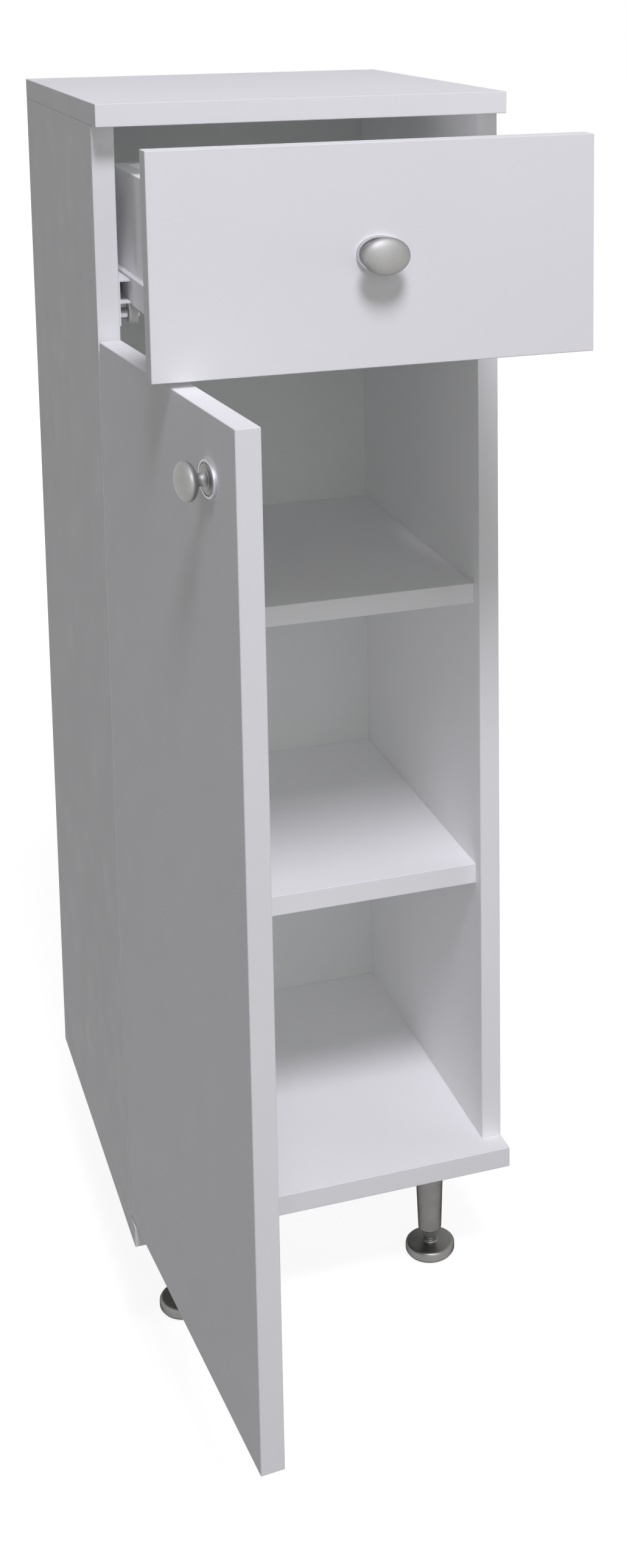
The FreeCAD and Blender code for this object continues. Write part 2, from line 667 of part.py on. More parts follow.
def knob(name, place):
    """An oval knob with a ringed base plate, a waisted neck and a domed head, stood up and then turned forward."""
    base = oval_disc(f"{name}_base", "0", "knob_base_width", "knob_base_height", "knob_base_thick")
    ring_start = "knob_base_thick - knob_ring_depth"
    ring_thick = "knob_ring_depth + overrun"
    ring_width = "knob_base_width - 2 * knob_rim_width"
    ring_height = "knob_base_height - 2 * knob_rim_width"
    ring_outer = oval_disc(f"{name}_ring_outer", ring_start, ring_width, ring_height, ring_thick)
    ring_inner = oval_disc(
        f"{name}_ring_inner", ring_start, f"{ring_width} - 2 * knob_ring_width",
        f"{ring_height} - 2 * knob_ring_width", ring_thick)
    ring = cut(f"{name}_ring", ring_outer, [ring_inner])
    stem = rod(
        f"{name}_stem", "z", ("0", "0", "knob_base_thick"), "knob_neck_radius", "2 * knob_flare_radius")
    waist = doc.addObject("Part::Torus", f"{name}_waist")
    tie(waist, Radius1="knob_waist_radius + knob_flare_radius", Radius2="knob_flare_radius")
    set_at(waist, ("0", "0", "knob_base_thick + knob_flare_radius"))
    head = doc.addObject("Part::Ellipsoid", f"{name}_head")
    tie(head, Radius1="knob_head_depth / 2", Radius2="knob_width / 2", Radius3="knob_height / 2")
    set_at(head, ("0", "0", "knob_reach - knob_head_depth / 2"))
    plate = cut(f"{name}_plate", base, [ring])
    body = joined(f"{name}_joined", [plate, cut(f"{name}_neck", stem, [waist]), head])
    bore = rod(f"{name}_bore", "z", ("0", "0", "-overrun"), "knob_screw_radius", "knob_screw_grip + overrun")
    finished = cut(name, body, [bore])
    finished.Placement.Rotation = FreeCAD.Rotation(FreeCAD.Vector(1, 0, 0), 90)
    return set_at(finished, place)


def knob_screw(name, x, z):
    """The screw that holds a knob from behind the front."""
    return screw(
        name, "y", (x, "front_setback - knob_screw_grip", z), "knob_screw_grip + board", "knob_screw_radius",
        (x, FRONT_BACK_Y, z), "knob_screw_head_thick", "knob_screw_head_radius")


# Door, hinged on the left, with its knob near the free upper corner
DOOR_KNOB_X = "(cab_width - front_reveal - door_knob_edge)"
DOOR_KNOB_Z = f"({DOOR_Z} + {DOOR_HEIGHT} - door_knob_drop)"
door_screw = knob_screw("door_screw", DOOR_KNOB_X, DOOR_KNOB_Z)
door_board = faced_board(
    "door_board", ("front_reveal", "front_setback", DOOR_Z), (FRONT_WIDTH, "board", DOOR_HEIGHT))
mortises = []
for level, z in HINGE_HEIGHTS.items():
    mortises.append(block(
        f"{level}_mortise", ("front_reveal - overrun", HOUSING_Y, f"{z} - mortise_half_height"),
        ("overrun + mortise_length", "mortise_depth + overrun", "2 * mortise_half_height")))
door_mortised = cut("door_mortised", door_board, mortises)
door_drilled = cut("door_drilled", door_mortised, [door_screw])
keep("door", cut("door_cut", door_drilled, [wing_screw_set]), DOOR)
door_knob = knob("door_oval_knob", (DOOR_KNOB_X, "front_setback", DOOR_KNOB_Z))
keep("door_knob", group("door_knob_piece", [door_knob]), DOOR)
keep("door_knob_screw", group("door_screw_piece", [door_screw]), DOOR)

# Drawer front with its knob, and the dowels that hold the drawer together
DRAWER_KNOB_Z = f"({DRAWER_Z} + drawer_knob_rise)"
drawer_screw = knob_screw("drawer_screw", "cab_width / 2", DRAWER_KNOB_Z)
drawer_dowel_length = "(drawer_dowel_end_depth + drawer_dowel_face_depth)"
left_drawer_dowels = []
for share in DRAWER_DOWEL_SHARES:
    z = f"{BOX_Z} + drawer_side_height * {share}"
    left_drawer_dowels.append(rod(
        "drawer_front_dowel", "y", (f"{DRAWER_X} + drawer_board / 2",
                                    f"{FRONT_BACK_Y} - drawer_dowel_face_depth", z),
        "drawer_dowel_radius", drawer_dowel_length))
    left_drawer_dowels.append(rod(
        "drawer_back_dowel", "x", (f"{BOX_INSIDE_X} - drawer_dowel_face_depth",
                                   f"{FRONT_BACK_Y} + drawer_length - drawer_board / 2", z),
        "drawer_dowel_radius", drawer_dowel_length))
right_drawer_dowels = [mirrored("right_drawer_dowel", piece) for piece in left_drawer_dowels]
drawer_dowel_set = group("drawer_dowel_set", left_drawer_dowels + right_drawer_dowels)
bottom_slot_x = f"{BOX_INSIDE_X} - bottom_groove"
bottom_slot_span = f"cab_width - 2 * {BOX_INSIDE_X} + 2 * bottom_groove"
bottom_slot = block(
    "bottom_slot", (bottom_slot_x, f"{FRONT_BACK_Y} - bottom_groove", BOTTOM_Z),
    (bottom_slot_span, "bottom_groove + drawer_length + overrun", "bottom_thick + groove_play"))
drawer_front_board = faced_board(
    "drawer_front_board", ("front_reveal", "front_setback", DRAWER_Z),
    (FRONT_WIDTH, "board", "drawer_front_height"))
front_slotted = cut("front_slotted", drawer_front_board, [bottom_slot])
front_doweled = cut("front_doweled", front_slotted, [drawer_dowel_set])
keep("drawer_front", cut("drawer_front_cut", front_doweled, [drawer_screw]), DRAWER)
drawer_knob = knob("drawer_oval_knob", ("cab_width / 2", "front_setback", DRAWER_KNOB_Z))
keep("drawer_knob", group("drawer_knob_piece", [drawer_knob]), DRAWER)
keep("drawer_knob_screw", group("drawer_screw_piece", [drawer_screw]), DRAWER)

# Drawer box: sides, back and a thin bottom in grooves, on rails screwed from below
left_rail_screws = []
for share in RAIL_SCREW_SHARES:
    x = f"{DRAWER_X} + rail_flange / 2"
    y = f"{FRONT_BACK_Y} + drawer_length * {share}"
    shank = rod("rail_shank", "z", (x, y, RAIL_Z), "rail_screw_radius", "sheet + rail_screw_length")
    sunk_head = taper("rail_head", "z", (x, y, RAIL_Z), "rail_screw_head_radius", "rail_screw_radius", "sheet")
    left_rail_screws.append(joined("rail_screw", [shank, sunk_head]))
right_rail_screws = [mirrored("right_rail_screw", piece) for piece in left_rail_screws]
rail_screw_set = group("rail_screw_set", left_rail_screws + right_rail_screws)
box_board = faced_board(
    "box_board", (DRAWER_X, FRONT_BACK_Y, BOX_Z), ("drawer_board", "drawer_length", "drawer_side_height"))
box_slotted = cut("box_slotted", box_board, [bottom_slot])
box_doweled = cut("box_doweled", box_slotted, [drawer_dowel_set])
box_side = cut("box_side", box_doweled, [rail_screw_set])
keep("drawer_right_side", group("drawer_right_piece", [mirrored("box_right_side", box_side)]), DRAWER)
keep("drawer_left_side", group("drawer_left_piece", [box_side]), DRAWER)
back_board = faced_board(
    "drawer_back_board",
    (BOX_INSIDE_X, f"{FRONT_BACK_Y} + drawer_length - drawer_board", f"{BOTTOM_Z} + bottom_thick"),
    (f"cab_width - 2 * {BOX_INSIDE_X}", "drawer_board", "drawer_side_height - bottom_rise - bottom_thick"))
keep("drawer_back", cut("drawer_back_cut", back_board, [drawer_dowel_set]), DRAWER)
bottom_sheet = block(
    "bottom_sheet",
    (f"{bottom_slot_x} + groove_play", f"{FRONT_BACK_Y} - bottom_groove + groove_play", BOTTOM_Z),
    (f"{bottom_slot_span} - 2 * groove_play", "bottom_groove - groove_play + drawer_length", "bottom_thick"))
keep("drawer_bottom", group("bottom_piece", [bottom_sheet]), DRAWER)
keep("drawer_dowels", group("drawer_dowel_pieces", [drawer_dowel_set]), DRAWER)
keep("drawer_rail_screws", group("rail_screw_pieces", [rail_screw_set]), DRAWER)

# Rails on the drawer: a closed strip along the side with a flange under it, and the rear axles
RAIL_TOP_Z = f"({RAIL_Z} + rail_height)"
rail_outline = [
    (RAIL_X, RAIL_Z),
    (f"{DRAWER_X} + rail_flange", RAIL_Z),
    (f"{DRAWER_X} + rail_flange", BOX_Z),
    (DRAWER_X, BOX_Z),
    (DRAWER_X, RAIL_TOP_Z),
    (RAIL_X, RAIL_TOP_Z),
]
rail_hollow = [
    (f"{RAIL_X} + sheet", BOX_Z),
    (f"{DRAWER_X} - sheet", BOX_Z),
    (f"{DRAWER_X} - sheet", f"{RAIL_TOP_Z} - sheet"),
    (f"{RAIL_X} + sheet", f"{RAIL_TOP_Z} - sheet"),
]
rail_body = padded_body(
    "rail_body", "XZ_Plane", f"-{FRONT_BACK_Y}", [rail_outline, rail_hollow], "drawer_length", True)
rear_axle = rod(
    "rear_axle", "x", (REAR_ROLLER_X, REAR_AXLE_Y, REAR_AXLE_Z), "axle_radius",
    "rear_roller_width + rear_roller_gap + sheet")
rail = cut("rail", cut("rail_drilled", rail_body, [rail_screw_set]), [rear_axle])
keep("right_drawer_rail", group("right_rail_piece", [mirrored("rail_right", rail)]), DRAWER)
keep("left_drawer_rail", group("left_rail_piece", [rail]), DRAWER)
keep("rear_roller_axles", group("rear_axle_pieces", [rear_axle, mirrored("rear_axle_right", rear_axle)]), DRAWER)
rear_wheel = rod(
    "rear_wheel", "x", (REAR_ROLLER_X, REAR_AXLE_Y, REAR_AXLE_Z), "rear_roller_radius", "rear_roller_width")
rear_bore = rod(
    "rear_bore", "x", (f"{REAR_ROLLER_X} - overrun", REAR_AXLE_Y, REAR_AXLE_Z), "axle_radius + running_play",
    "rear_roller_width + 2 * overrun")
rear_roller = cut("rear_roller", rear_wheel, [rear_bore])
keep("rear_rollers", group("rear_roller_pieces", [rear_roller, mirrored("rear_roller_right", rear_roller)]), DRAWER)

# Channels on the cabinet sides, each with an ear that carries the front roller
channel_corners = [
    ("board", CHANNEL_Z),
    ("board + runner_reach", CHANNEL_Z),
    ("board + runner_reach", f"{CHANNEL_Z} + sheet"),
    ("board + sheet", f"{CHANNEL_Z} + sheet"),
    ("board + sheet", f"{CHANNEL_TOP_Z} - sheet"),
    ("board + runner_reach", f"{CHANNEL_TOP_Z} - sheet"),
    ("board + runner_reach", CHANNEL_TOP_Z),
    ("board", CHANNEL_TOP_Z),
]
channel = padded_body("channel", "XZ_Plane", f"-{RUNNER_Y}", [channel_corners], "runner_length", True)
EAR_Z = f"({FRONT_AXLE_Z} - ear_drop)"
ear = block("ear", ("board", RUNNER_Y, EAR_Z), ("sheet", "ear_length", f"{CHANNEL_Z} + sheet - {EAR_Z}"))
AXLE_END_X = f"({FRONT_ROLLER_X} + front_roller_width + axle_end_play)"
front_axle = joined("front_axle", [
    rod("front_axle_pin", "x", ("board", FRONT_AXLE_Y, FRONT_AXLE_Z), "axle_radius",
        f"{AXLE_END_X} + axle_head_thick - board"),
    rod("front_axle_collar", "x", ("board + sheet", FRONT_AXLE_Y, FRONT_AXLE_Z), "axle_collar_radius",
        f"{FRONT_ROLLER_X} - axle_end_play - board - sheet"),
    rod("front_axle_head", "x", (AXLE_END_X, FRONT_AXLE_Y, FRONT_AXLE_Z), "axle_collar_radius",
        "axle_head_thick"),
])
runner_drilled = cut("runner_drilled", joined("runner_joined", [channel, ear]), left_runner_screws)
runner = cut("runner", runner_drilled, [front_axle])
keep("right_runner", group("right_runner_piece", [mirrored("runner_right", runner)]), CABINET)
keep("left_runner", group("left_runner_piece", [runner]), CABINET)
runner_screw_pieces = left_runner_screws + right_runner_screws
keep("runner_screws", group("runner_screw_pieces", runner_screw_pieces), CABINET)
front_axles = [front_axle, mirrored("front_axle_right", front_axle)]
keep("front_roller_axles", group("front_axle_pieces", front_axles), CABINET)
front_wheel = rod(
    "front_wheel", "x", (FRONT_ROLLER_X, FRONT_AXLE_Y, FRONT_AXLE_Z), "front_roller_radius",
    "front_roller_width")
front_bore = rod(
    "front_bore", "x", (f"{FRONT_ROLLER_X} - overrun", FRONT_AXLE_Y, FRONT_AXLE_Z),
    "axle_radius + running_play", "front_roller_width + 2 * overrun")
front_roller = cut("front_roller", front_wheel, [front_bore])
front_rollers = [front_roller, mirrored("front_roller_right", front_roller)]
keep("front_rollers", group("front_roller_pieces", front_rollers), CABINET)

# Every object has to be sound before a sub-part is written
doc.recompute()
for thing in doc.Objects:
    if "Invalid" in thing.State or "Error" in thing.State:
        raise RuntimeError(f"{thing.Label} failed: {thing.State}")
for piece in nodes:
    if piece.Shape.isNull() or not piece.Shape.isValid():
        raise RuntimeError(f"{piece.Label} has no valid shape")
os.makedirs("parts", exist_ok=True)
for piece in nodes:
    piece.Shape.exportStep(f"parts/{piece.Label}.step")
print(len(nodes), "sub-parts written")
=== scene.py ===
import math

import bmesh
import bpy
import numpy as np
from mathutils import Matrix, Vector


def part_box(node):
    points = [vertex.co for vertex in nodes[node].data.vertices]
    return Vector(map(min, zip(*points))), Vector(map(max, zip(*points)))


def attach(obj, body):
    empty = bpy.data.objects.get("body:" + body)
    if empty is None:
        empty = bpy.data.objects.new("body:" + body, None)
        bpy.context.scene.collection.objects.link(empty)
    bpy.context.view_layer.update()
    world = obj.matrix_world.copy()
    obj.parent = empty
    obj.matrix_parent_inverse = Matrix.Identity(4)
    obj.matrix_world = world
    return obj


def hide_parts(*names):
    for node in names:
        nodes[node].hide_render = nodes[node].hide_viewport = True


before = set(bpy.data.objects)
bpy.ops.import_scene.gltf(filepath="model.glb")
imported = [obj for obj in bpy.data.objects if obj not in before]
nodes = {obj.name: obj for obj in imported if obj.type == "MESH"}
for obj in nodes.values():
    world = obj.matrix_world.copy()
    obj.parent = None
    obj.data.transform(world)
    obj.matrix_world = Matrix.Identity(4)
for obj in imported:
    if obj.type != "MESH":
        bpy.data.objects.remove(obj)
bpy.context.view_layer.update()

# Carcass boards: chipboard 16 mm thick, pressed with smooth white foil and banded on the edges.
# Top and base cover the ends of the two sides; glued dowels hold the corners and both shelves.
FOIL_WHITE = (0.908, 0.909, 0.911, 1)
FOIL_SHADED = (0.894, 0.895, 0.897, 1)
FOIL_ROUGHNESS = (0.62, 0.74)
FOIL_SHINE = 0.15
BAND_SEAM = (0.62, 0.62, 0.63, 1)
SEAM_SHARE = 0.30
ARRIS_WIDTH = 0.0010
# Most values of a noise lie in this range.
NOISE_RANGE = (0.3, 0.7)


def wire(tree, value, socket):
    """Links a socket to a socket, or sets a plain value on it."""
    if isinstance(value, bpy.types.NodeSocket):
        tree.links.new(value, socket)
    else:
        socket.default_value = value


def new_node(tree, kind, settings=None, **inputs):
    """Adds a node, with its settings and its inputs by name, a space written as an underscore."""
    node = tree.nodes.new(kind)
    for name, value in (settings or {}).items():
        setattr(node, name, value)
    for name, value in inputs.items():
        wire(tree, value, node.inputs[name.replace("_", " ")])
    return node


def arithmetic(tree, operation, *values):
    """One math node: the operation on one, two or three values."""
    node = new_node(tree, "ShaderNodeMath", {"operation": operation})
    for value, socket in zip(values, node.inputs):
        wire(tree, value, socket)
    return node.outputs[0]


def vector_arithmetic(tree, operation, *values):
    """One vector math node: the operation on each component."""
    node = new_node(tree, "ShaderNodeVectorMath", {"operation": operation})
    for value, socket in zip(values, node.inputs):
        wire(tree, value, socket)
    return node.outputs[0]


def ramp(tree, value, source, target, shape="LINEAR"):
    """Carries a value from a source range to a target range and holds it at the ends."""
    node = new_node(tree, "ShaderNodeMapRange", {"interpolation_type": shape, "clamp": True})
    for value_in, socket in zip((value, *source, *target), node.inputs):
        wire(tree, value_in, socket)
    return node.outputs[0]


def blend_colours(tree, factor, first, second):
    """Mixes two colours by a factor."""
    node = new_node(tree, "ShaderNodeMix", {"data_type": "RGBA"})
    for value, index in ((factor, 0), (first, 6), (second, 7)):
        wire(tree, value, node.inputs[index])
    return node.outputs[2]


def noise(tree, position, scale, detail=2.0, rough=0.5):
    """Fractal noise from 0 to 1 at a number of cells per metre."""
    node = new_node(
        tree, "ShaderNodeTexNoise", Vector=position, Scale=scale, Detail=detail, Roughness=rough)
    return node.outputs[0]


def shader_group(name, inputs, outputs):
    """A shader node group with named inputs, given with their defaults, and named outputs."""
    tree = bpy.data.node_groups.new(name, "ShaderNodeTree")
    for label, default in inputs.items():
        kind = "NodeSocketVector" if isinstance(default, tuple) else "NodeSocketFloat"
        socket = tree.interface.new_socket(label, in_out="INPUT", socket_type=kind)
        socket.default_value = default
    for label in outputs:
        tree.interface.new_socket(label, in_out="OUTPUT", socket_type="NodeSocketFloat")
    group_inputs = tree.nodes.new("NodeGroupInput").outputs
    group_outputs = tree.nodes.new("NodeGroupOutput").inputs
    return tree, group_inputs, group_outputs


def place_group(tree, group, **inputs):
    """Places a node group in a material with its own values, and gives its outputs."""
    return new_node(tree, "ShaderNodeGroup", {"node_tree": group}, **inputs).outputs


# How near a point of a board is to one of its arrises: the second smallest distance to the faces
# of the board's box.
arris_group, arris_in, arris_out = shader_group(
    "board_arris",
    {"Position": (0, 0, 0), "Low": (0, 0, 0), "High": (1, 1, 1), "Width": ARRIS_WIDTH}, ["Mask"])
from_low = vector_arithmetic(arris_group, "SUBTRACT", arris_in["Position"], arris_in["Low"])
from_high = vector_arithmetic(arris_group, "SUBTRACT", arris_in["High"], arris_in["Position"])
nearer = vector_arithmetic(arris_group, "MINIMUM", from_low, from_high)
gap_x, gap_y, gap_z = new_node(arris_group, "ShaderNodeSeparateXYZ", Vector=nearer).outputs
lesser = arithmetic(arris_group, "MINIMUM", gap_x, gap_y)
greater = arithmetic(arris_group, "MAXIMUM", gap_x, gap_y)
middle = arithmetic(arris_group, "MINIMUM", greater, gap_z)
second_gap = arithmetic(arris_group, "MAXIMUM", lesser, middle)
near_arris = ramp(arris_group, second_gap, (0, arris_in["Width"]), (1, 0), "SMOOTHSTEP")
wire(arris_group, near_arris, arris_out["Mask"])

# The foil's surface: a faint cloudy tone, a roughness uneven from handling, and the fine orange
# peel of the press.
foil_group, foil_in, foil_out = shader_group(
    "pressed_foil", {"Position": (0, 0, 0), "Grain": 700.0}, ["Tone", "Gloss", "Peel"])
cloud = noise(foil_group, foil_in["Position"], scale=5.0, detail=3.0, rough=0.55)
handling = noise(foil_group, foil_in["Position"], scale=38.0, detail=4.0, rough=0.6)
peel = noise(foil_group, foil_in["Position"], scale=foil_in["Grain"], detail=1.0)
wire(foil_group, ramp(foil_group, cloud, (0.35, 0.65), (0, 1)), foil_out["Tone"])
wire(foil_group, ramp(foil_group, handling, NOISE_RANGE, FOIL_ROUGHNESS), foil_out["Gloss"])
wire(foil_group, peel, foil_out["Peel"])


def start_material(name):
    """A new node material: its tree, its surface shader's inputs and its object coordinates."""
    material = bpy.data.materials.new(name)
    material.use_nodes = True
    tree = material.node_tree
    shader = next(node for node in tree.nodes if node.type == "BSDF_PRINCIPLED")
    return material, tree, shader.inputs, tree.nodes.new("ShaderNodeTexCoord").outputs["Object"]


def roughen(tree, shader, height, strength, depth):
    """Lets a height between 0 and 1 stand out of the surface by a depth in metres."""
    bump = new_node(tree, "ShaderNodeBump", Strength=strength, Distance=depth, Height=height)
    wire(tree, bump.outputs[0], shader["Normal"])


def give(material, *pieces):
    """Puts one material on pieces, in place of what they have."""
    for piece in pieces:
        piece.data.materials.clear()
        piece.data.materials.append(material)


def laid(tree, place, turn, shift):
    """Coordinates after a turn about the upright axis and then a shift."""
    moved = new_node(tree, "ShaderNodeMapping", {"vector_type": "POINT"}, Vector=place)
    moved.inputs["Rotation"].default_value = (0, 0, turn)
    moved.inputs["Location"].default_value = shift
    return moved.outputs[0]


def faced_board(name, low, high, colours, turn=0.0, shift=(0, 0, 0)):
    """White foil on a board whose box is given, as it lies after a turn and a shift, with a seam
    along each arris."""
    material, tree, shader, place = start_material(name)
    if turn:
        place = laid(tree, place, turn, shift)
    foil = place_group(tree, foil_group, Position=place)
    arris = place_group(
        tree, arris_group, Position=place, Low=tuple(low), High=tuple(high), Width=ARRIS_WIDTH)
    face = blend_colours(tree, foil["Tone"], *colours)
    seam = arithmetic(tree, "MULTIPLY", arris["Mask"], SEAM_SHARE)
    wire(tree, blend_colours(tree, seam, face, BAND_SEAM), shader["Base Color"])
    wire(tree, foil["Gloss"], shader["Roughness"])
    shader["Specular IOR Level"].default_value = FOIL_SHINE
    roughen(tree, shader, foil["Peel"], strength=0.06, depth=0.0002)
    return material


for name in ("base_panel", "left_side", "right_side", "lower_shelf", "upper_shelf", "top_panel"):
    give(faced_board(f"foil_{name}", *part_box(name), (FOIL_WHITE, FOIL_SHADED)), nodes[name])

# Back and drawer bottom: hardboard 3 mm thick, lacquered white and a little duller than the boards.
# Both sit loose in grooves; the press leaves a fine, even tooth in the lacquer.
LACQUER_WHITE = (0.800, 0.812, 0.798, 1)
LACQUER_SHADED = (0.774, 0.786, 0.772, 1)
LACQUER_ROUGHNESS = (0.54, 0.68)
hardboard, tree, shader, place = start_material("lacquered_hardboard")
mottle = noise(tree, place, scale=26.0, detail=4.0, rough=0.6)
tooth = noise(tree, place, scale=1500.0)
wire(tree, blend_colours(tree, mottle, LACQUER_WHITE, LACQUER_SHADED), shader["Base Color"])
wire(tree, ramp(tree, mottle, NOISE_RANGE, LACQUER_ROUGHNESS), shader["Roughness"])
roughen(tree, shader, tooth, strength=0.12, depth=0.0002)
give(hardboard, nodes["back_panel"], nodes["drawer_bottom"])

# Dowels: turned beech pegs, glued into blind holes in the ends and faces of the boards.
# Grain runs along each peg, so the noise is drawn out along its length.
BEECH = (0.62, 0.42, 0.25, 1)
BEECH_DARK = (0.46, 0.29, 0.16, 1)
BEECH_ROUGHNESS = (0.55, 0.75)
# How closely the noise is packed along each axis.
DOWEL_GRAIN = {
    "carcass_dowels": (1, 1, 0.1),
    "shelf_dowels": (0.1, 1, 1),
    "drawer_dowels": (0.3, 0.3, 1),
}
for name, packing in DOWEL_GRAIN.items():
    beech, tree, shader, place = start_material(f"beech_{name}")
    drawn = new_node(tree, "ShaderNodeMapping", {"vector_type": "POINT"}, Vector=place)
    drawn.inputs["Scale"].default_value = packing
    fibre = noise(tree, drawn.outputs[0], scale=900.0, detail=4.0, rough=0.65)
    streak = ramp(tree, fibre, (0.35, 0.65), (0, 1))
    wire(tree, blend_colours(tree, streak, BEECH, BEECH_DARK), shader["Base Color"])
    wire(tree, ramp(tree, fibre, NOISE_RANGE, BEECH_ROUGHNESS), shader["Roughness"])
    roughen(tree, shader, fibre, strength=0.3, depth=0.0003)
    give(beech, nodes[name])

# Legs: tapered metal tubes under round plates, nickel plated and blasted to a satin grain.
# Each stands 102 mm out from the middle both ways, and three screws hold its plate to the base.
LEG_SPREAD = 0.102
LEG_CORNERS = {
    "front_left": (-LEG_SPREAD, -LEG_SPREAD, 0),
    "front_right": (LEG_SPREAD, -LEG_SPREAD, 0),
    "back_left": (-LEG_SPREAD, LEG_SPREAD, 0),
    "back_right": (LEG_SPREAD, LEG_SPREAD, 0),
}
LEG_TOP = 0.097
LEG_END = 0.0224
LEG_BORE = 0.0055
LEG_BORE_TOP = 0.0444
# Radius, height and easing of each corner, from the middle of the top down the outside and up the
# bore. The profiles of bushes, feet and pads have the same columns.
LEG_PROFILE = [
    (0, LEG_TOP, 0), (0.012, LEG_TOP, 0.0004), (0.0094, 0.0230, 0.0006),
    (0.0088, LEG_END, 0.0003), (LEG_BORE, LEG_END, 0), (LEG_BORE, LEG_BORE_TOP, 0),
    (0, LEG_BORE_TOP, 0)]
LEG_DARK = (0.16, 0.158, 0.15, 1)
LEG_LIGHT = (0.24, 0.238, 0.228, 1)
LEG_ROUGHNESS = (0.36, 0.46)


def eased(corners, steps=6):
    """Points along a line of corners: each corner turns on a parabola between the two points that
    lie its easing, the last number of its row, away from it on the lines before and after it."""
    corners = np.asarray(corners, float)
    spots, easing = corners[:, :-1], corners[:, -1:]
    before = np.vstack([spots[:1], spots[:-1]]) - spots
    after = np.vstack([spots[1:], spots[-1:]]) - spots
    before_length = np.maximum(np.linalg.norm(before, axis=1, keepdims=True), 1e-9)
    after_length = np.maximum(np.linalg.norm(after, axis=1, keepdims=True), 1e-9)
    start = spots + easing * before / before_length
    end = spots + easing * after / after_length
    share = np.linspace(0, 1, steps)[:, None, None]
    bends = (1 - share) ** 2 * start + 2 * share * (1 - share) * spots + share ** 2 * end
    line = bends.transpose(1, 0, 2).reshape(-1, spots.shape[1])
    apart = np.linalg.norm(np.diff(line, axis=0), axis=1) > 1e-8
    return line[np.concatenate([[True], apart])]


def turned(profile, centres, columns=72):
    """A profile of radius and height carried round an upright axis at each centre: radius times
    cosine across, radius times sine along, and height up."""
    angle = 2 * np.pi * np.arange(columns) / columns
    across = profile[:, :1] * np.cos(angle)
    along = profile[:, :1] * np.sin(angle)
    upward = np.repeat(profile[:, 1:2], columns, axis=1)
    return np.asarray(centres, float)[:, None, None] + np.stack([across, along, upward], axis=-1)


def grid_piece(name, points, body, replaced, ring=False, crease=38):
    """A piece from grids of points, pieces by rows by columns: neighbours make a face, columns
    close on themselves, rows too on a ring, and points that coincide are merged, which closes the
    poles. Edges sharper than the crease, in degrees, stay sharp."""
    count, rows, columns = points.shape[:3]
    index = np.arange(count * rows * columns).reshape(count, rows, columns)
    if ring:
        index = np.concatenate([index, index[:, :1]], axis=1)
    beside = np.roll(index, -1, axis=2)
    faces = np.stack([index[:, :-1], beside[:, :-1], beside[:, 1:], index[:, 1:]], axis=-1)
    mesh = bpy.data.meshes.new(name)
    mesh.from_pydata(points.reshape(-1, 3).tolist(), [], faces.reshape(-1, 4).tolist())
    shell = bmesh.new()
    shell.from_mesh(mesh)
    bmesh.ops.remove_doubles(shell, verts=shell.verts, dist=1e-7)
    bmesh.ops.recalc_face_normals(shell, faces=shell.faces)
    shell.to_mesh(mesh)
    shell.free()
    mesh.shade_smooth()
    mesh.set_sharp_from_angle(angle=math.radians(crease))
    piece = bpy.data.objects.new(name, mesh)
    bpy.context.scene.collection.objects.link(piece)
    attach(piece, body)
    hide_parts(*replaced)
    return piece


# The satin grain of blasted and plated metal: a fine speckle in tone and height, and slow clouds
# in tone and gloss.
grain_group, grain_in, grain_out = shader_group(
    "satin_grain", {"Position": (0, 0, 0), "Grain": 3200.0}, ["Tone", "Gloss", "Pits"])
speckle = noise(grain_group, grain_in["Position"], scale=grain_in["Grain"], rough=0.7)
bloom = noise(grain_group, grain_in["Position"], scale=90.0, detail=3.0, rough=0.55)
bloom_share = arithmetic(grain_group, "MULTIPLY", bloom, 0.35)
mixed = arithmetic(grain_group, "MULTIPLY_ADD", speckle, 0.65, bloom_share)
wire(grain_group, ramp(grain_group, mixed, (0.36, 0.64), (0, 1)), grain_out["Tone"])
wire(grain_group, ramp(grain_group, bloom, NOISE_RANGE, (0, 1)), grain_out["Gloss"])
wire(grain_group, speckle, grain_out["Pits"])


def satin_metal(name, dark, light, roughness, pits, edge=1.0, grain=3200.0):
    """Plated metal with a blasted grain: two tones by the speckle, a roughness range, the strength
    of the pits, how much of its reflection the metal keeps at glancing angles, and how many specks
    there are to a metre."""
    material, tree, shader, place = start_material(name)
    blasted = place_group(tree, grain_group, Position=place, Grain=grain)
    wire(tree, blend_colours(tree, blasted["Tone"], dark, light), shader["Base Color"])
    wire(tree, ramp(tree, blasted["Gloss"], (0, 1), roughness), shader["Roughness"])
    shader["Metallic"].default_value = 1.0
    shader["Specular Tint"].default_value = (edge, edge, edge, 1)
    roughen(tree, shader, blasted["Pits"], strength=pits, depth=0.0001)
    return material


leg_nickel = satin_metal("leg_nickel", LEG_DARK, LEG_LIGHT, LEG_ROUGHNESS, pits=0.30, edge=0.1)
for corner, centre in LEG_CORNERS.items():
    leg = grid_piece(
        f"{corner}_turned_leg", turned(eased(LEG_PROFILE), [centre]), "carcass",
        [f"{corner}_leg"])
    give(leg_nickel, leg)
give(leg_nickel, nodes["leg_plates"])

# Screws: zinc-plated pan heads with a cross recess, driven through plates and runners into the boards.
# One surface each: recess, dome, rim, underside, then the shank down to its point.
ZINC_DARK = (0.44, 0.46, 0.50, 1)
ZINC_LIGHT = (0.60, 0.61, 0.62, 1)
ZINC_ROUGHNESS = (0.24, 0.36)
LEG_SCREW = {"head_radius": 0.0038, "head_height": 0.0015, "shank_radius": 0.002, "length": 0.0155}
LEG_SCREW_CIRCLE = 0.0185
LEG_SCREW_ANGLES = (-90, 30, 150)
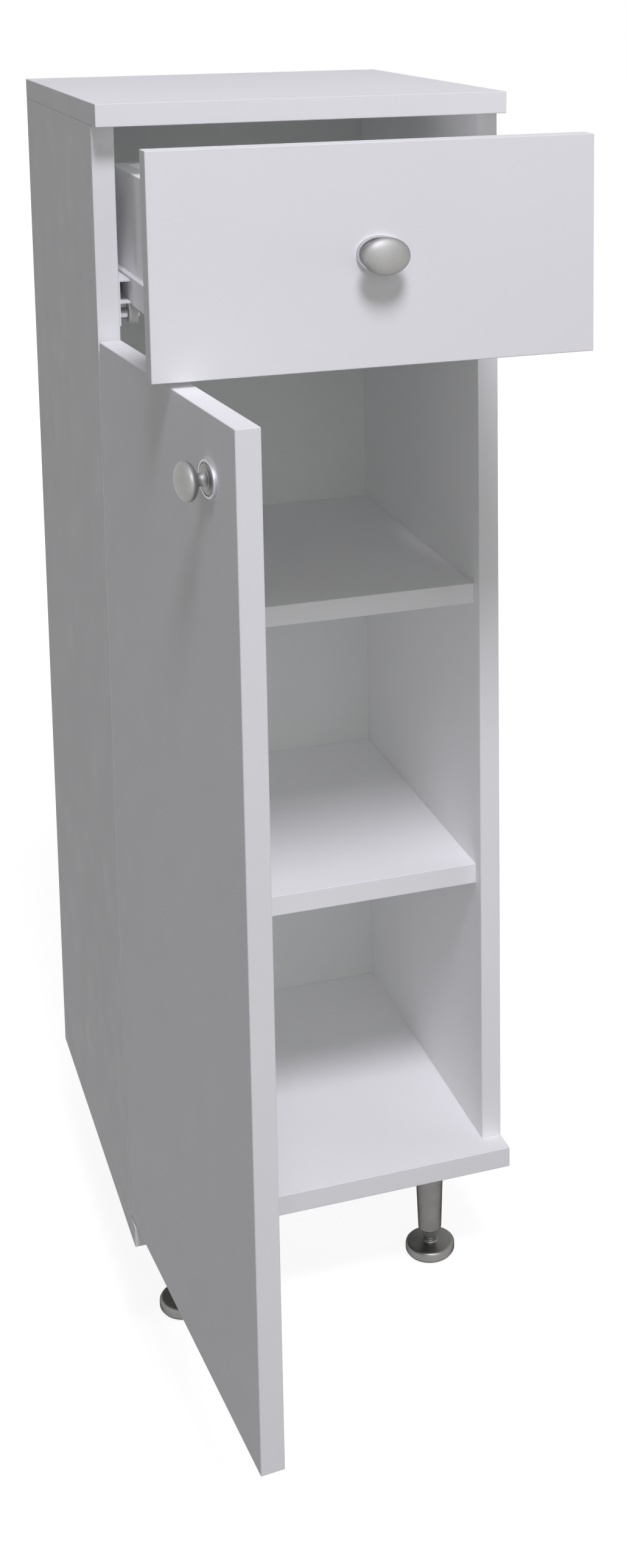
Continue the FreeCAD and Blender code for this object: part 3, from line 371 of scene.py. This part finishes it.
# Rings of the head, as shares of its radius, and its recess in the same measure.
HEAD_RINGS = (0, 0.08, 0.16, 0.24, 0.32, 0.40, 0.48, 0.56, 0.64, 0.74, 0.84, 0.92, 0.97, 1.0)
RECESS_HALF_WIDTH = 0.17
RECESS_REACH = 0.60


def cross_screws(places, outward, head_radius, head_height, shank_radius, length):
    """Screws as rings of points about their axes: the head rises as a dome, one minus the square
    of the radius share, less a recess where the point lies within either bar of a cross, and rings
    of the shank follow."""
    columns = 48
    angle = 2 * np.pi * np.arange(columns) / columns
    share = np.array(HEAD_RINGS)[:, None]
    across = share * np.cos(angle)
    along = share * np.sin(angle)
    bar = np.minimum(np.abs(across), np.abs(along))
    within_bar = np.clip((RECESS_HALF_WIDTH - bar) / 0.05, 0, 1)
    within_reach = np.clip((RECESS_REACH - share) / 0.07, 0, 1)
    dome = head_height * (0.35 + 0.65 * (1 - share ** 2)) * np.ones(columns)
    dome = dome - 0.75 * head_height * (within_bar * within_reach)
    shank = shank_radius / head_radius
    lower_radius = np.array([1.0, shank, shank, 0.25 * shank, 0])[:, None]
    lower_height = np.array([0, 0, 0.18 * length - length, -length, -length])[:, None]
    across = np.vstack([across, lower_radius * np.cos(angle)]) * head_radius
    along = np.vstack([along, lower_radius * np.sin(angle)]) * head_radius
    upward = np.vstack([dome, lower_height * np.ones(columns)])
    axis = np.asarray(outward, float)
    side = np.roll(axis, 1)
    third = np.cross(axis, side)
    screw = across[..., None] * side + along[..., None] * third + upward[..., None] * axis
    return np.asarray(places, float)[:, None, None] + screw


zinc = satin_metal("bright_zinc", ZINC_DARK, ZINC_LIGHT, ZINC_ROUGHNESS, pits=0.15, grain=900.0)
screw_turn = np.radians(LEG_SCREW_ANGLES)
screw_ring = np.stack([np.cos(screw_turn), np.sin(screw_turn), 0 * screw_turn], axis=1)
leg_middles = np.array(list(LEG_CORNERS.values()))[:, None]
leg_screw_places = leg_middles + LEG_SCREW_CIRCLE * screw_ring + [0, 0, LEG_TOP]
leg_screws = grid_piece(
    "leg_plate_cross_screws", cross_screws(leg_screw_places.reshape(-1, 3), (0, 0, -1), **LEG_SCREW),
    "carcass", ["leg_plate_screws"])
give(zinc, leg_screws)

# Bushes: moulded plastic sleeves pressed into the ends of the legs, each a nut for the stud of a foot.
# A narrow lip shows below the leg and tapers to the stud.
BUSH_BORE = 0.00405
BUSH_LOW = 0.0150
BUSH_HIGH = 0.0424
BUSH_PROFILE = [
    (BUSH_BORE, BUSH_LOW, 0), (0.0058, BUSH_LOW, 0.0006), (0.0070, 0.0187, 0.0010),
    (0.0070, LEG_END, 0.0002), (LEG_BORE, LEG_END, 0), (LEG_BORE, BUSH_HIGH, 0),
    (BUSH_BORE, BUSH_HIGH, 0)]
BUSH_DARK = (0.155, 0.155, 0.150, 1)
BUSH_LIGHT = (0.215, 0.215, 0.208, 1)
BUSH_ROUGHNESS = (0.40, 0.52)
bushes = grid_piece(
    "leg_bush_sleeves", turned(eased(BUSH_PROFILE), list(LEG_CORNERS.values()), 56), "carcass",
    ["leg_bushes"], ring=True)
bush_plastic, tree, shader, place = start_material("bush_plastic")
flow = noise(tree, place, scale=400.0, detail=3.0, rough=0.6)
wire(tree, blend_colours(tree, flow, BUSH_DARK, BUSH_LIGHT), shader["Base Color"])
wire(tree, ramp(tree, flow, NOISE_RANGE, BUSH_ROUGHNESS), shader["Roughness"])
roughen(tree, shader, noise(tree, place, scale=2500.0), strength=0.2, depth=0.0001)
give(bush_plastic, bushes)

# Feet: round metal discs on threaded studs, plated like the legs, that screw in and out to level
# the cabinet. A rubber pad is glued into the underside, and a collar rises round the stud.
PAD_RADIUS = 0.0160
PAD_TOP = 0.0020
STUD_RADIUS = 0.0040
STUD_LOW = 0.0030
STUD_HIGH = 0.0384
THREAD_PITCH = 0.00125
THREAD_DEPTH = 0.00068
FOOT_PROFILE = [
    (0, PAD_TOP, 0), (PAD_RADIUS, PAD_TOP, 0), (PAD_RADIUS, 0.0015, 0), (0.0180, 0.0015, 0.0008),
    (0.0200, 0.0042, 0.0010), (0.0200, 0.0108, 0.0030), (0.0053, 0.0108, 0.0014),
    (0.0053, 0.0133, 0.0005), (STUD_RADIUS, 0.0133, 0), (STUD_RADIUS, STUD_LOW, 0),
    (0, STUD_LOW, 0)]
PAD_PROFILE = [(0, 0, 0), (PAD_RADIUS, 0, 0.0007), (PAD_RADIUS, PAD_TOP, 0), (0, PAD_TOP, 0)]
FOOT_DARK = (0.20, 0.198, 0.19, 1)
FOOT_LIGHT = (0.29, 0.288, 0.278, 1)
FOOT_ROUGHNESS = (0.36, 0.42)
RUBBER_BLACK = (0.022, 0.022, 0.023, 1)
RUBBER_DUSTY = (0.06, 0.06, 0.058, 1)
RUBBER_ROUGHNESS = (0.68, 0.88)


def threaded_stud(centre, columns=36, rows_per_turn=8):
    """A stud whose radius falls from its crest by the thread's depth times a rounded saw: how far
    the height less the angle's share of a pitch lies from the nearest crest. Flat ends close on
    the axis."""
    angle = 2 * np.pi * np.arange(columns) / columns
    height = np.arange(STUD_LOW, STUD_HIGH, THREAD_PITCH / rows_per_turn)[:, None]
    phase = (height / THREAD_PITCH - angle / (2 * np.pi)) % 1.0
    saw = np.clip(1.25 * np.abs(2 * phase - 1) - 0.12, 0, 1)
    run_out = np.clip((STUD_HIGH - height) / (2 * THREAD_PITCH), 0, 1)
    radius = STUD_RADIUS - THREAD_DEPTH * (saw * run_out + (1 - run_out))
    radius = np.vstack([np.zeros(columns), radius, np.zeros(columns)])
    height = np.vstack([height[:1], height, height[-1:]]) * np.ones(columns)
    stud = np.stack([radius * np.cos(angle), radius * np.sin(angle), height], axis=-1)
    return (np.asarray(centre, float) + stud)[None]


foot_nickel = satin_metal("foot_nickel", FOOT_DARK, FOOT_LIGHT, FOOT_ROUGHNESS, pits=0.25, edge=0.2)
rubber, tree, shader, place = start_material("foot_rubber")
dust = noise(tree, place, scale=240.0, detail=4.0, rough=0.65)
dusted = ramp(tree, dust, (0.4, 0.75), (0, 1))
wire(tree, blend_colours(tree, dusted, RUBBER_BLACK, RUBBER_DUSTY), shader["Base Color"])
wire(tree, ramp(tree, dust, NOISE_RANGE, RUBBER_ROUGHNESS), shader["Roughness"])
roughen(tree, shader, noise(tree, place, scale=1800.0), strength=0.3, depth=0.0001)
for corner, centre in LEG_CORNERS.items():
    body = f"{corner}_foot"
    disc = grid_piece(
        f"{corner}_disc_foot", turned(eased(FOOT_PROFILE, 9), [centre], 96), body,
        [f"{corner}_foot"])
    give(foot_nickel, disc)
    stud = grid_piece(
        f"{corner}_threaded_stud", threaded_stud(centre), body,
        [f"{corner}_foot_stud"], crease=80)
    give(zinc, stud)
    pad = grid_piece(
        f"{corner}_rubber_pad", turned(eased(PAD_PROFILE), [centre]), body,
        [f"{corner}_foot_pad"])
    give(rubber, pad)

# Runners: channels and rails folded from 1.2 mm steel sheet and coated with white powder paint.
# Three screws fix each channel to a side; its ear at the front carries a roller on a riveted axle.
RUNNER_SCREW = {"head_radius": 0.0032, "head_height": 0.0006, "shank_radius": 0.00175, "length": 0.0132}
RUNNER_SCREW_X = 0.1328
RUNNER_SCREW_Y = (-0.10048, -0.0040, 0.09248)
RUNNER_SCREW_Z = 0.81825
POWDER_WHITE = (0.84, 0.84, 0.845, 1)
POWDER_SHADED = (0.81, 0.81, 0.815, 1)
powder, tree, shader, place = start_material("white_powder_coat")
coat = place_group(tree, foil_group, Position=place, Grain=1100.0)
wire(tree, blend_colours(tree, coat["Tone"], POWDER_WHITE, POWDER_SHADED), shader["Base Color"])
wire(tree, coat["Gloss"], shader["Roughness"])
roughen(tree, shader, coat["Peel"], strength=0.25, depth=0.0002)
give(powder, nodes["left_runner"], nodes["right_runner"])
give(powder, nodes["left_drawer_rail"], nodes["right_drawer_rail"])
give(zinc, nodes["front_roller_axles"], nodes["rear_roller_axles"])
runner_screw_points = []
for side in (-1, 1):
    runner_places = [(side * RUNNER_SCREW_X, y, RUNNER_SCREW_Z) for y in RUNNER_SCREW_Y]
    runner_screw_points.append(cross_screws(runner_places, (-side, 0, 0), **RUNNER_SCREW))
give(zinc, grid_piece(
    "runner_cross_screws", np.concatenate(runner_screw_points), "carcass",
    ["runner_screws"]))

# Rollers: moulded white nylon wheels, with a rounded tread and a dished face on each side of the hub.
# The front pair turns on the ears of the channels, the rear pair on the ends of the drawer's rails.
ROLLER_BORE = 0.00255
FRONT_ROLLER = {"radius": 0.008, "width": 0.0065, "inner_x": 0.1190, "y": -0.124, "z": 0.80095}
REAR_ROLLER = {"radius": 0.007, "width": 0.0058, "inner_x": 0.1258, "y": -0.055, "z": 0.81825}
NYLON_WHITE = (0.74, 0.74, 0.73, 1)
NYLON_SHADED = (0.68, 0.68, 0.665, 1)
NYLON_ROUGHNESS = (0.34, 0.48)


def roller_pair(radius, width, inner_x, y, z):
    """Two wheels whose ring profile, bore, dished faces and rounded tread, is carried round an
    axis across the cabinet."""
    half = width / 2
    dish = 0.12 * width
    profile = eased([
        (ROLLER_BORE, -half, 0), (0.52 * radius, -half, 0.0003), (0.60 * radius, dish - half, 0.0003),
        (0.78 * radius, dish - half, 0.0003), (0.84 * radius, -half, 0.0003), (radius, -half, 0.0007),
        (radius, half, 0.0007), (0.84 * radius, half, 0.0003), (0.78 * radius, half - dish, 0.0003),
        (0.60 * radius, half - dish, 0.0003), (0.52 * radius, half, 0.0003), (ROLLER_BORE, half, 0)], 4)
    wheel = turned(profile, [(0, 0, 0)], 64)[..., [2, 0, 1]]
    centres = np.array([(side * (inner_x + half), y, z) for side in (-1, 1)])
    return centres[:, None, None] + wheel


nylon, tree, shader, place = start_material("roller_nylon")
flow = noise(tree, place, scale=300.0, detail=3.0, rough=0.6)
wire(tree, blend_colours(tree, flow, NYLON_WHITE, NYLON_SHADED), shader["Base Color"])
wire(tree, ramp(tree, flow, NOISE_RANGE, NYLON_ROUGHNESS), shader["Roughness"])
roughen(tree, shader, noise(tree, place, scale=2000.0), strength=0.15, depth=0.0001)
give(nylon, grid_piece(
    "front_nylon_rollers", roller_pair(**FRONT_ROLLER), "front_rollers",
    ["front_rollers"], ring=True))
give(nylon, grid_piece(
    "rear_nylon_rollers", roller_pair(**REAR_ROLLER), "rear_rollers",
    ["rear_rollers"], ring=True))

# Hinges: nickel-plated steel arms on plates inside the left side, whose eyes turn on pins in the door.
# Two screws hold each plate to the side, and two hold each housing to the back of the door.
HINGE_HEIGHTS = (0.198, 0.705)
HINGE_PLATE_SCREW = {
    "head_radius": 0.0035, "head_height": 0.0012, "shank_radius": 0.00175, "length": 0.013}
HINGE_PLATE_SCREW_X = -0.132
HINGE_PLATE_SCREW_Y = -0.114
HINGE_PLATE_SCREW_RISE = (-0.014, 0.014)
HOUSING_SCREW = {
    "head_radius": 0.0035, "head_height": 0.0012, "shank_radius": 0.00175, "length": 0.0125}
HOUSING_SCREW_X = (-0.11732, -0.10628)
HOUSING_SCREW_Y = -0.1415
HINGE_DARK = (0.42, 0.415, 0.40, 1)
HINGE_LIGHT = (0.52, 0.515, 0.50, 1)
HINGE_ROUGHNESS = (0.22, 0.34)
DOOR_PIVOT = np.array([-0.142, -0.1514, 0])
DOOR_SWING = math.radians(85.4)


def swung_open(points):
    """Points of the closed door, turned with it about the hinge pins to where it stands open."""
    across, along = points[..., 0] - DOOR_PIVOT[0], points[..., 1] - DOOR_PIVOT[1]
    cosine, sine = math.cos(DOOR_SWING), math.sin(DOOR_SWING)
    turned_x = DOOR_PIVOT[0] + across * cosine + along * sine
    turned_y = DOOR_PIVOT[1] - across * sine + along * cosine
    return np.stack([turned_x, turned_y, points[..., 2]], axis=-1)


plated = satin_metal(
    "hinge_nickel_plate", HINGE_DARK, HINGE_LIGHT, HINGE_ROUGHNESS, pits=0.12, grain=1500.0)
give(plated, nodes["hinge_plates"], nodes["upper_hinge_arm"], nodes["lower_hinge_arm"])
give(plated, nodes["upper_hinge_housing"], nodes["lower_hinge_housing"])
give(zinc, nodes["hinge_pins"])
plate_places = [
    (HINGE_PLATE_SCREW_X, HINGE_PLATE_SCREW_Y, height + rise)
    for height in HINGE_HEIGHTS for rise in HINGE_PLATE_SCREW_RISE]
give(zinc, grid_piece(
    "hinge_plate_cross_screws", cross_screws(plate_places, (1, 0, 0), **HINGE_PLATE_SCREW),
    "carcass", ["hinge_plate_screws"]))
housing_places = [(x, HOUSING_SCREW_Y, height) for height in HINGE_HEIGHTS for x in HOUSING_SCREW_X]
give(zinc, grid_piece(
    "hinge_housing_cross_screws",
    swung_open(cross_screws(housing_places, (0, 1, 0), **HOUSING_SCREW)), "door",
    ["hinge_housing_screws"]))

# Door: one 16 mm foil board hung on the left, with an oval knob near its free upper corner.
# Its pattern lies as on the closed door, so the seams follow its edges at any angle.
DOOR_LOW = (-0.149, -0.159, 0.118)
DOOR_HIGH = (0.149, -0.143, 0.785)
door_shift = Vector(DOOR_PIVOT) - Matrix.Rotation(DOOR_SWING, 3, "Z") @ Vector(DOOR_PIVOT)
door_foil = faced_board(
    "foil_door", DOOR_LOW, DOOR_HIGH, (FOIL_WHITE, FOIL_SHADED), DOOR_SWING, door_shift)
give(door_foil, nodes["door"])

# Drawer: a foil front on a box of 12 mm boards, doweled at the corners, with a hardboard bottom.
# Steel rails under the sides are screwed from below and carry the rear rollers.
BOX_WHITE = (0.870, 0.872, 0.870, 1)
BOX_SHADED = (0.850, 0.852, 0.850, 1)
front_foil = faced_board("foil_drawer_front", *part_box("drawer_front"), (FOIL_WHITE, FOIL_SHADED))
give(front_foil, nodes["drawer_front"])
for name in ("drawer_left_side", "drawer_right_side", "drawer_back"):
    give(faced_board(f"foil_{name}", *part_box(name), (BOX_WHITE, BOX_SHADED)), nodes[name])
give(zinc, nodes["drawer_rail_screws"])

# Knobs: oval zinc castings with a ringed base plate, a waisted neck and a domed head, plated in
# satin nickel. A machine screw from behind the front holds each one.
BASE_DEPTH = 0.0026
BASE_HALF_WIDTH = 0.0155
BASE_HALF_HEIGHT = 0.01175
# Depth, half width, half height and easing of each corner, from the middle of the back outwards,
# over the rim, through the groove of the ring and in to the neck.
KNOB_BASE = [
    (0, 0, 0, 0), (0, BASE_HALF_WIDTH, BASE_HALF_HEIGHT, 0.0002),
    (BASE_DEPTH, BASE_HALF_WIDTH, BASE_HALF_HEIGHT, 0.0006), (BASE_DEPTH, 0.0139, 0.01015, 0.0003),
    (0.0018, 0.0138, 0.01005, 0.0003), (0.0018, 0.0131, 0.00935, 0.0003),
    (BASE_DEPTH, 0.0129, 0.00915, 0.0003), (BASE_DEPTH, 0.0066, 0.0066, 0.0004)]
WAIST_RADIUS = 0.004
WAIST_FLARE = 0.004
WAIST_SWEEP = (24, 122)
HEAD_HALF_DEPTH = 0.0062
HEAD_HALF_WIDTH = 0.0160
HEAD_HALF_HEIGHT = 0.01225
KNOB_REACH = 0.021
KNOB_DARK = (0.29, 0.289, 0.281, 1)
KNOB_LIGHT = (0.37, 0.368, 0.36, 1)
KNOB_ROUGHNESS = (0.52, 0.60)
# Painted reflection: a pale colour on the outer base ring, in place of the white face that the ring
# mirrors.
PAINTED_RING_REFLECTION = (0.56, 0.56, 0.575, 1)
RING_DEPTH = (-0.0032, -0.0028)
RING_START = (0.87, 0.89)
DRAWER_KNOB = (0, -0.321, 0.863)
DOOR_KNOB = (0.100, -0.159, 0.745)
KNOB_SCREW = {"head_radius": 0.0045, "head_height": 0.002, "shank_radius": 0.002, "length": 0.024}
DRAWER_KNOB_SCREW = (0, -0.305, 0.863)
DOOR_KNOB_SCREW = (0.100, -0.143, 0.745)


def oval_knob(columns=96):
    """Rows of depth, half width and half height carried round an oval: the base's corners, the
    waist as its radius plus a flare times one less a sine, then the head as an ellipsoid, half
    width and half height times a sine at half depth times a cosine."""
    bend = np.radians(np.linspace(*WAIST_SWEEP, 14))
    waist = WAIST_RADIUS + WAIST_FLARE * (1 - np.sin(bend))
    neck = np.stack([BASE_DEPTH + WAIST_FLARE * (1 - np.cos(bend)), waist, waist], axis=1)
    sweep = np.linspace(math.asin(waist[-1] / HEAD_HALF_HEIGHT), np.pi, 36)
    head_depth = KNOB_REACH - HEAD_HALF_DEPTH * (1 + np.cos(sweep))
    head_width = HEAD_HALF_WIDTH * np.sin(sweep)
    head_height = HEAD_HALF_HEIGHT * np.sin(sweep)
    head = np.stack([head_depth, head_width, head_height], axis=1)
    rows = np.vstack([eased(KNOB_BASE, 4), neck, head])
    angle = 2 * np.pi * np.arange(columns) / columns
    across = rows[:, 1:2] * np.cos(angle)
    upward = rows[:, 2:3] * np.sin(angle)
    forward = np.repeat(-rows[:, :1], columns, axis=1)
    return np.stack([across, forward, upward], axis=-1)


def nickel_with_painted_reflection(name, centre, turn=0.0, shift=(0, 0, 0)):
    """Satin nickel with a painted reflection on its base ring: a pale colour in place of the white face
    mirrored there, where a point lies within the base plate's thickness of the face that carries the
    knob, and beyond seven eighths of the plate's oval."""
    material = satin_metal(name, KNOB_DARK, KNOB_LIGHT, KNOB_ROUGHNESS, pits=0.25)
    tree = material.node_tree
    shader = next(node for node in tree.nodes if node.type == "BSDF_PRINCIPLED").inputs
    place = tree.nodes.new("ShaderNodeTexCoord").outputs["Object"]
    if turn:
        place = laid(tree, place, turn, shift)
    away = vector_arithmetic(tree, "SUBTRACT", place, centre)
    depth = new_node(tree, "ShaderNodeSeparateXYZ", Vector=away).outputs["Y"]
    near_face = ramp(tree, depth, RING_DEPTH, (0, 1))
    to_oval = (1 / BASE_HALF_WIDTH, 0, 1 / BASE_HALF_HEIGHT)
    oval = vector_arithmetic(tree, "MULTIPLY", away, to_oval)
    reach = new_node(tree, "ShaderNodeVectorMath", {"operation": "LENGTH"})
    wire(tree, oval, reach.inputs[0])
    outside = ramp(tree, reach.outputs["Value"], RING_START, (0, 1))
    # Mask of the painted reflection on the outer base ring.
    ring = arithmetic(tree, "MULTIPLY", near_face, outside)
    satin = shader["Base Color"].links[0].from_socket
    wire(tree, blend_colours(tree, ring, satin, PAINTED_RING_REFLECTION), shader["Base Color"])
    return material


drawer_knob = grid_piece(
    "drawer_oval_knob", (oval_knob() + DRAWER_KNOB)[None], "drawer", ["drawer_knob"])
give(nickel_with_painted_reflection("drawer_knob_nickel", DRAWER_KNOB), drawer_knob)
door_knob = grid_piece(
    "door_oval_knob", swung_open(oval_knob() + DOOR_KNOB)[None], "door", ["door_knob"])
give(nickel_with_painted_reflection("door_knob_nickel", DOOR_KNOB, DOOR_SWING, door_shift), door_knob)
give(zinc, grid_piece(
    "drawer_knob_cross_screw", cross_screws([DRAWER_KNOB_SCREW], (0, 1, 0), **KNOB_SCREW), "drawer",
    ["drawer_knob_screw"]))
give(zinc, grid_piece(
    "door_knob_cross_screw", swung_open(cross_screws([DOOR_KNOB_SCREW], (0, 1, 0), **KNOB_SCREW)),
    "door", ["door_knob_screw"]))

# Floor and backdrop: a pale plain sheet that shows white to the camera and keeps the cabinet's shadow.
# Further out it glows more, because less of the lamp's light reaches it there.
FLOOR_GREY = (0.30, 0.30, 0.30, 1)
FLOOR_CORNERS = [(-14, -14, 0), (14, -14, 0), (14, 14, 0), (-14, 14, 0)]
GLOW_REACH = (0.5, 2.6)
GLOW_STRENGTH = (0.87, 1.0)


def shown_white(tree):
    """One for rays from the camera, off glossy surfaces and through clear ones, and nothing for
    light on surfaces."""
    path = tree.nodes.new("ShaderNodeLightPath").outputs
    reflected = arithmetic(tree, "MAXIMUM", path["Is Glossy Ray"], path["Is Transmission Ray"])
    return arithmetic(tree, "MAXIMUM", path["Is Camera Ray"], reflected)


floor_mesh = bpy.data.meshes.new("pale_floor")
floor_mesh.from_pydata(FLOOR_CORNERS, [], [(0, 1, 2, 3)])
floor = bpy.data.objects.new("pale_floor", floor_mesh)
bpy.context.scene.collection.objects.link(floor)
floor_paint = bpy.data.materials.new("pale_floor")
floor_paint.use_nodes = True
tree = floor_paint.node_tree
tree.nodes.clear()
matt = new_node(tree, "ShaderNodeBsdfDiffuse", Color=FLOOR_GREY)
place = tree.nodes.new("ShaderNodeTexCoord").outputs["Object"]
far = new_node(tree, "ShaderNodeVectorMath", {"operation": "LENGTH"})
wire(tree, place, far.inputs[0])
glow = ramp(tree, far.outputs["Value"], GLOW_REACH, GLOW_STRENGTH, "SMOOTHSTEP")
shown_glow = arithmetic(tree, "MULTIPLY", shown_white(tree), glow)
lift = new_node(tree, "ShaderNodeEmission", Strength=shown_glow)
both = tree.nodes.new("ShaderNodeAddShader")
wire(tree, matt.outputs[0], both.inputs[0])
wire(tree, lift.outputs[0], both.inputs[1])
wire(tree, both.outputs[0], new_node(tree, "ShaderNodeOutputMaterial").inputs["Surface"])
give(floor_paint, floor)

# Light: a dim even room that shows white to the camera and in reflections, one round soft box high in
# front of the cabinet, and four pale screens: the widest stands behind the camera and fills the open
# inside, a weak one stands on the left, one on the right lights the inside of the door, and one the back.
ROOM_TINT = (0.99, 1.0, 0.985, 1)
ROOM_STRENGTH = 0.165
BOX_TINT = (0.925, 0.900, 1.0)
SCREEN_TINT = (1, 1, 1)
CABINET_MIDDLE = (0, 0, 0.5)
CABINET_FRONT = (0, -0.2, 0.5)
world = bpy.data.worlds.new("even_room")
bpy.context.scene.world = world
world.use_nodes = True
tree = world.node_tree
tree.nodes.clear()
room = new_node(tree, "ShaderNodeBackground", Color=ROOM_TINT, Strength=ROOM_STRENGTH)
white = new_node(tree, "ShaderNodeBackground", Color=(1, 1, 1, 1), Strength=1.0)
sky = tree.nodes.new("ShaderNodeMixShader")
wire(tree, shown_white(tree), sky.inputs[0])
wire(tree, room.outputs[0], sky.inputs[1])
wire(tree, white.outputs[0], sky.inputs[2])
wire(tree, sky.outputs[0], new_node(tree, "ShaderNodeOutputWorld").inputs["Surface"])


def round_lamp(name, width, watts, tint, place, target, mirrored=True):
    """A round area lamp of a width, at a place, that points at a target. One that isn't mirrored
    lights matt surfaces only, and glossy ones show the white room in its place."""
    lamp = bpy.data.lights.new(name, "AREA")
    lamp.shape = "DISK"
    lamp.size = width
    lamp.energy = watts
    lamp.color = tint
    stand = bpy.data.objects.new(name, lamp)
    bpy.context.scene.collection.objects.link(stand)
    stand.location = place
    stand.visible_glossy = mirrored
    stand.rotation_euler = (Vector(target) - Vector(place)).to_track_quat("-Z", "Y").to_euler()


round_lamp(
    "soft_box", width=1.0, watts=90, tint=BOX_TINT, place=(-0.22, -2.25, 3.70), target=CABINET_FRONT)
round_lamp(
    "pale_screen", width=4.0, watts=32, tint=SCREEN_TINT, place=(0.2, -4.5, 1.3),
    target=CABINET_MIDDLE)
round_lamp(
    "left_screen", width=2.4, watts=6.5, tint=SCREEN_TINT, place=(-3.0, -0.5, 0.5),
    target=CABINET_FRONT, mirrored=False)
round_lamp(
    "right_screen", width=2.4, watts=26, tint=SCREEN_TINT, place=(2.8, -0.3, 0.5),
    target=CABINET_FRONT, mirrored=False)
round_lamp(
    "rear_screen", width=2.4, watts=24, tint=SCREEN_TINT, place=(1.2, 2.7, 0.5),
    target=CABINET_MIDDLE, mirrored=False)
# White boards pass light on to each other many times, so more of these bounces are followed than usual.
bpy.context.scene.cycles.max_bounces = 16
bpy.context.scene.cycles.diffuse_bounces = 12

# Camera: the photograph's place, left of the cabinet and a little above its top.
# The lens is given in pixels of the photograph's height, and the shift sets the cabinet in the frame.
LENS_PIXELS = 3376.8
IMAGE_HEIGHT = 2576
SENSOR_WIDTH = 36
CAMERA_PLACE = (-0.3935, -1.5566, 1.0511)
CAMERA_ANGLES = (-19.557, -9.430, 0.454)
camera = bpy.data.cameras.new("photo_camera")
camera.sensor_width = SENSOR_WIDTH
camera.lens = LENS_PIXELS * SENSOR_WIDTH / IMAGE_HEIGHT
camera.shift_x = -0.085
camera.shift_y = -0.312
camera.clip_end = 60
camera_stand = bpy.data.objects.new("photo_camera", camera)
bpy.context.scene.collection.objects.link(camera_stand)
yaw, pitch, roll = np.radians(CAMERA_ANGLES)
camera_turn = Matrix.Rotation(yaw, 4, "Z")
camera_turn = camera_turn @ Matrix.Rotation(math.pi / 2 + pitch, 4, "X")
camera_turn = camera_turn @ Matrix.Rotation(-roll, 4, "Z")
camera_stand.matrix_world = Matrix.Translation(CAMERA_PLACE) @ camera_turn
bpy.context.scene.camera = camera_stand
bpy.context.scene.view_settings.view_transform = "Standard"
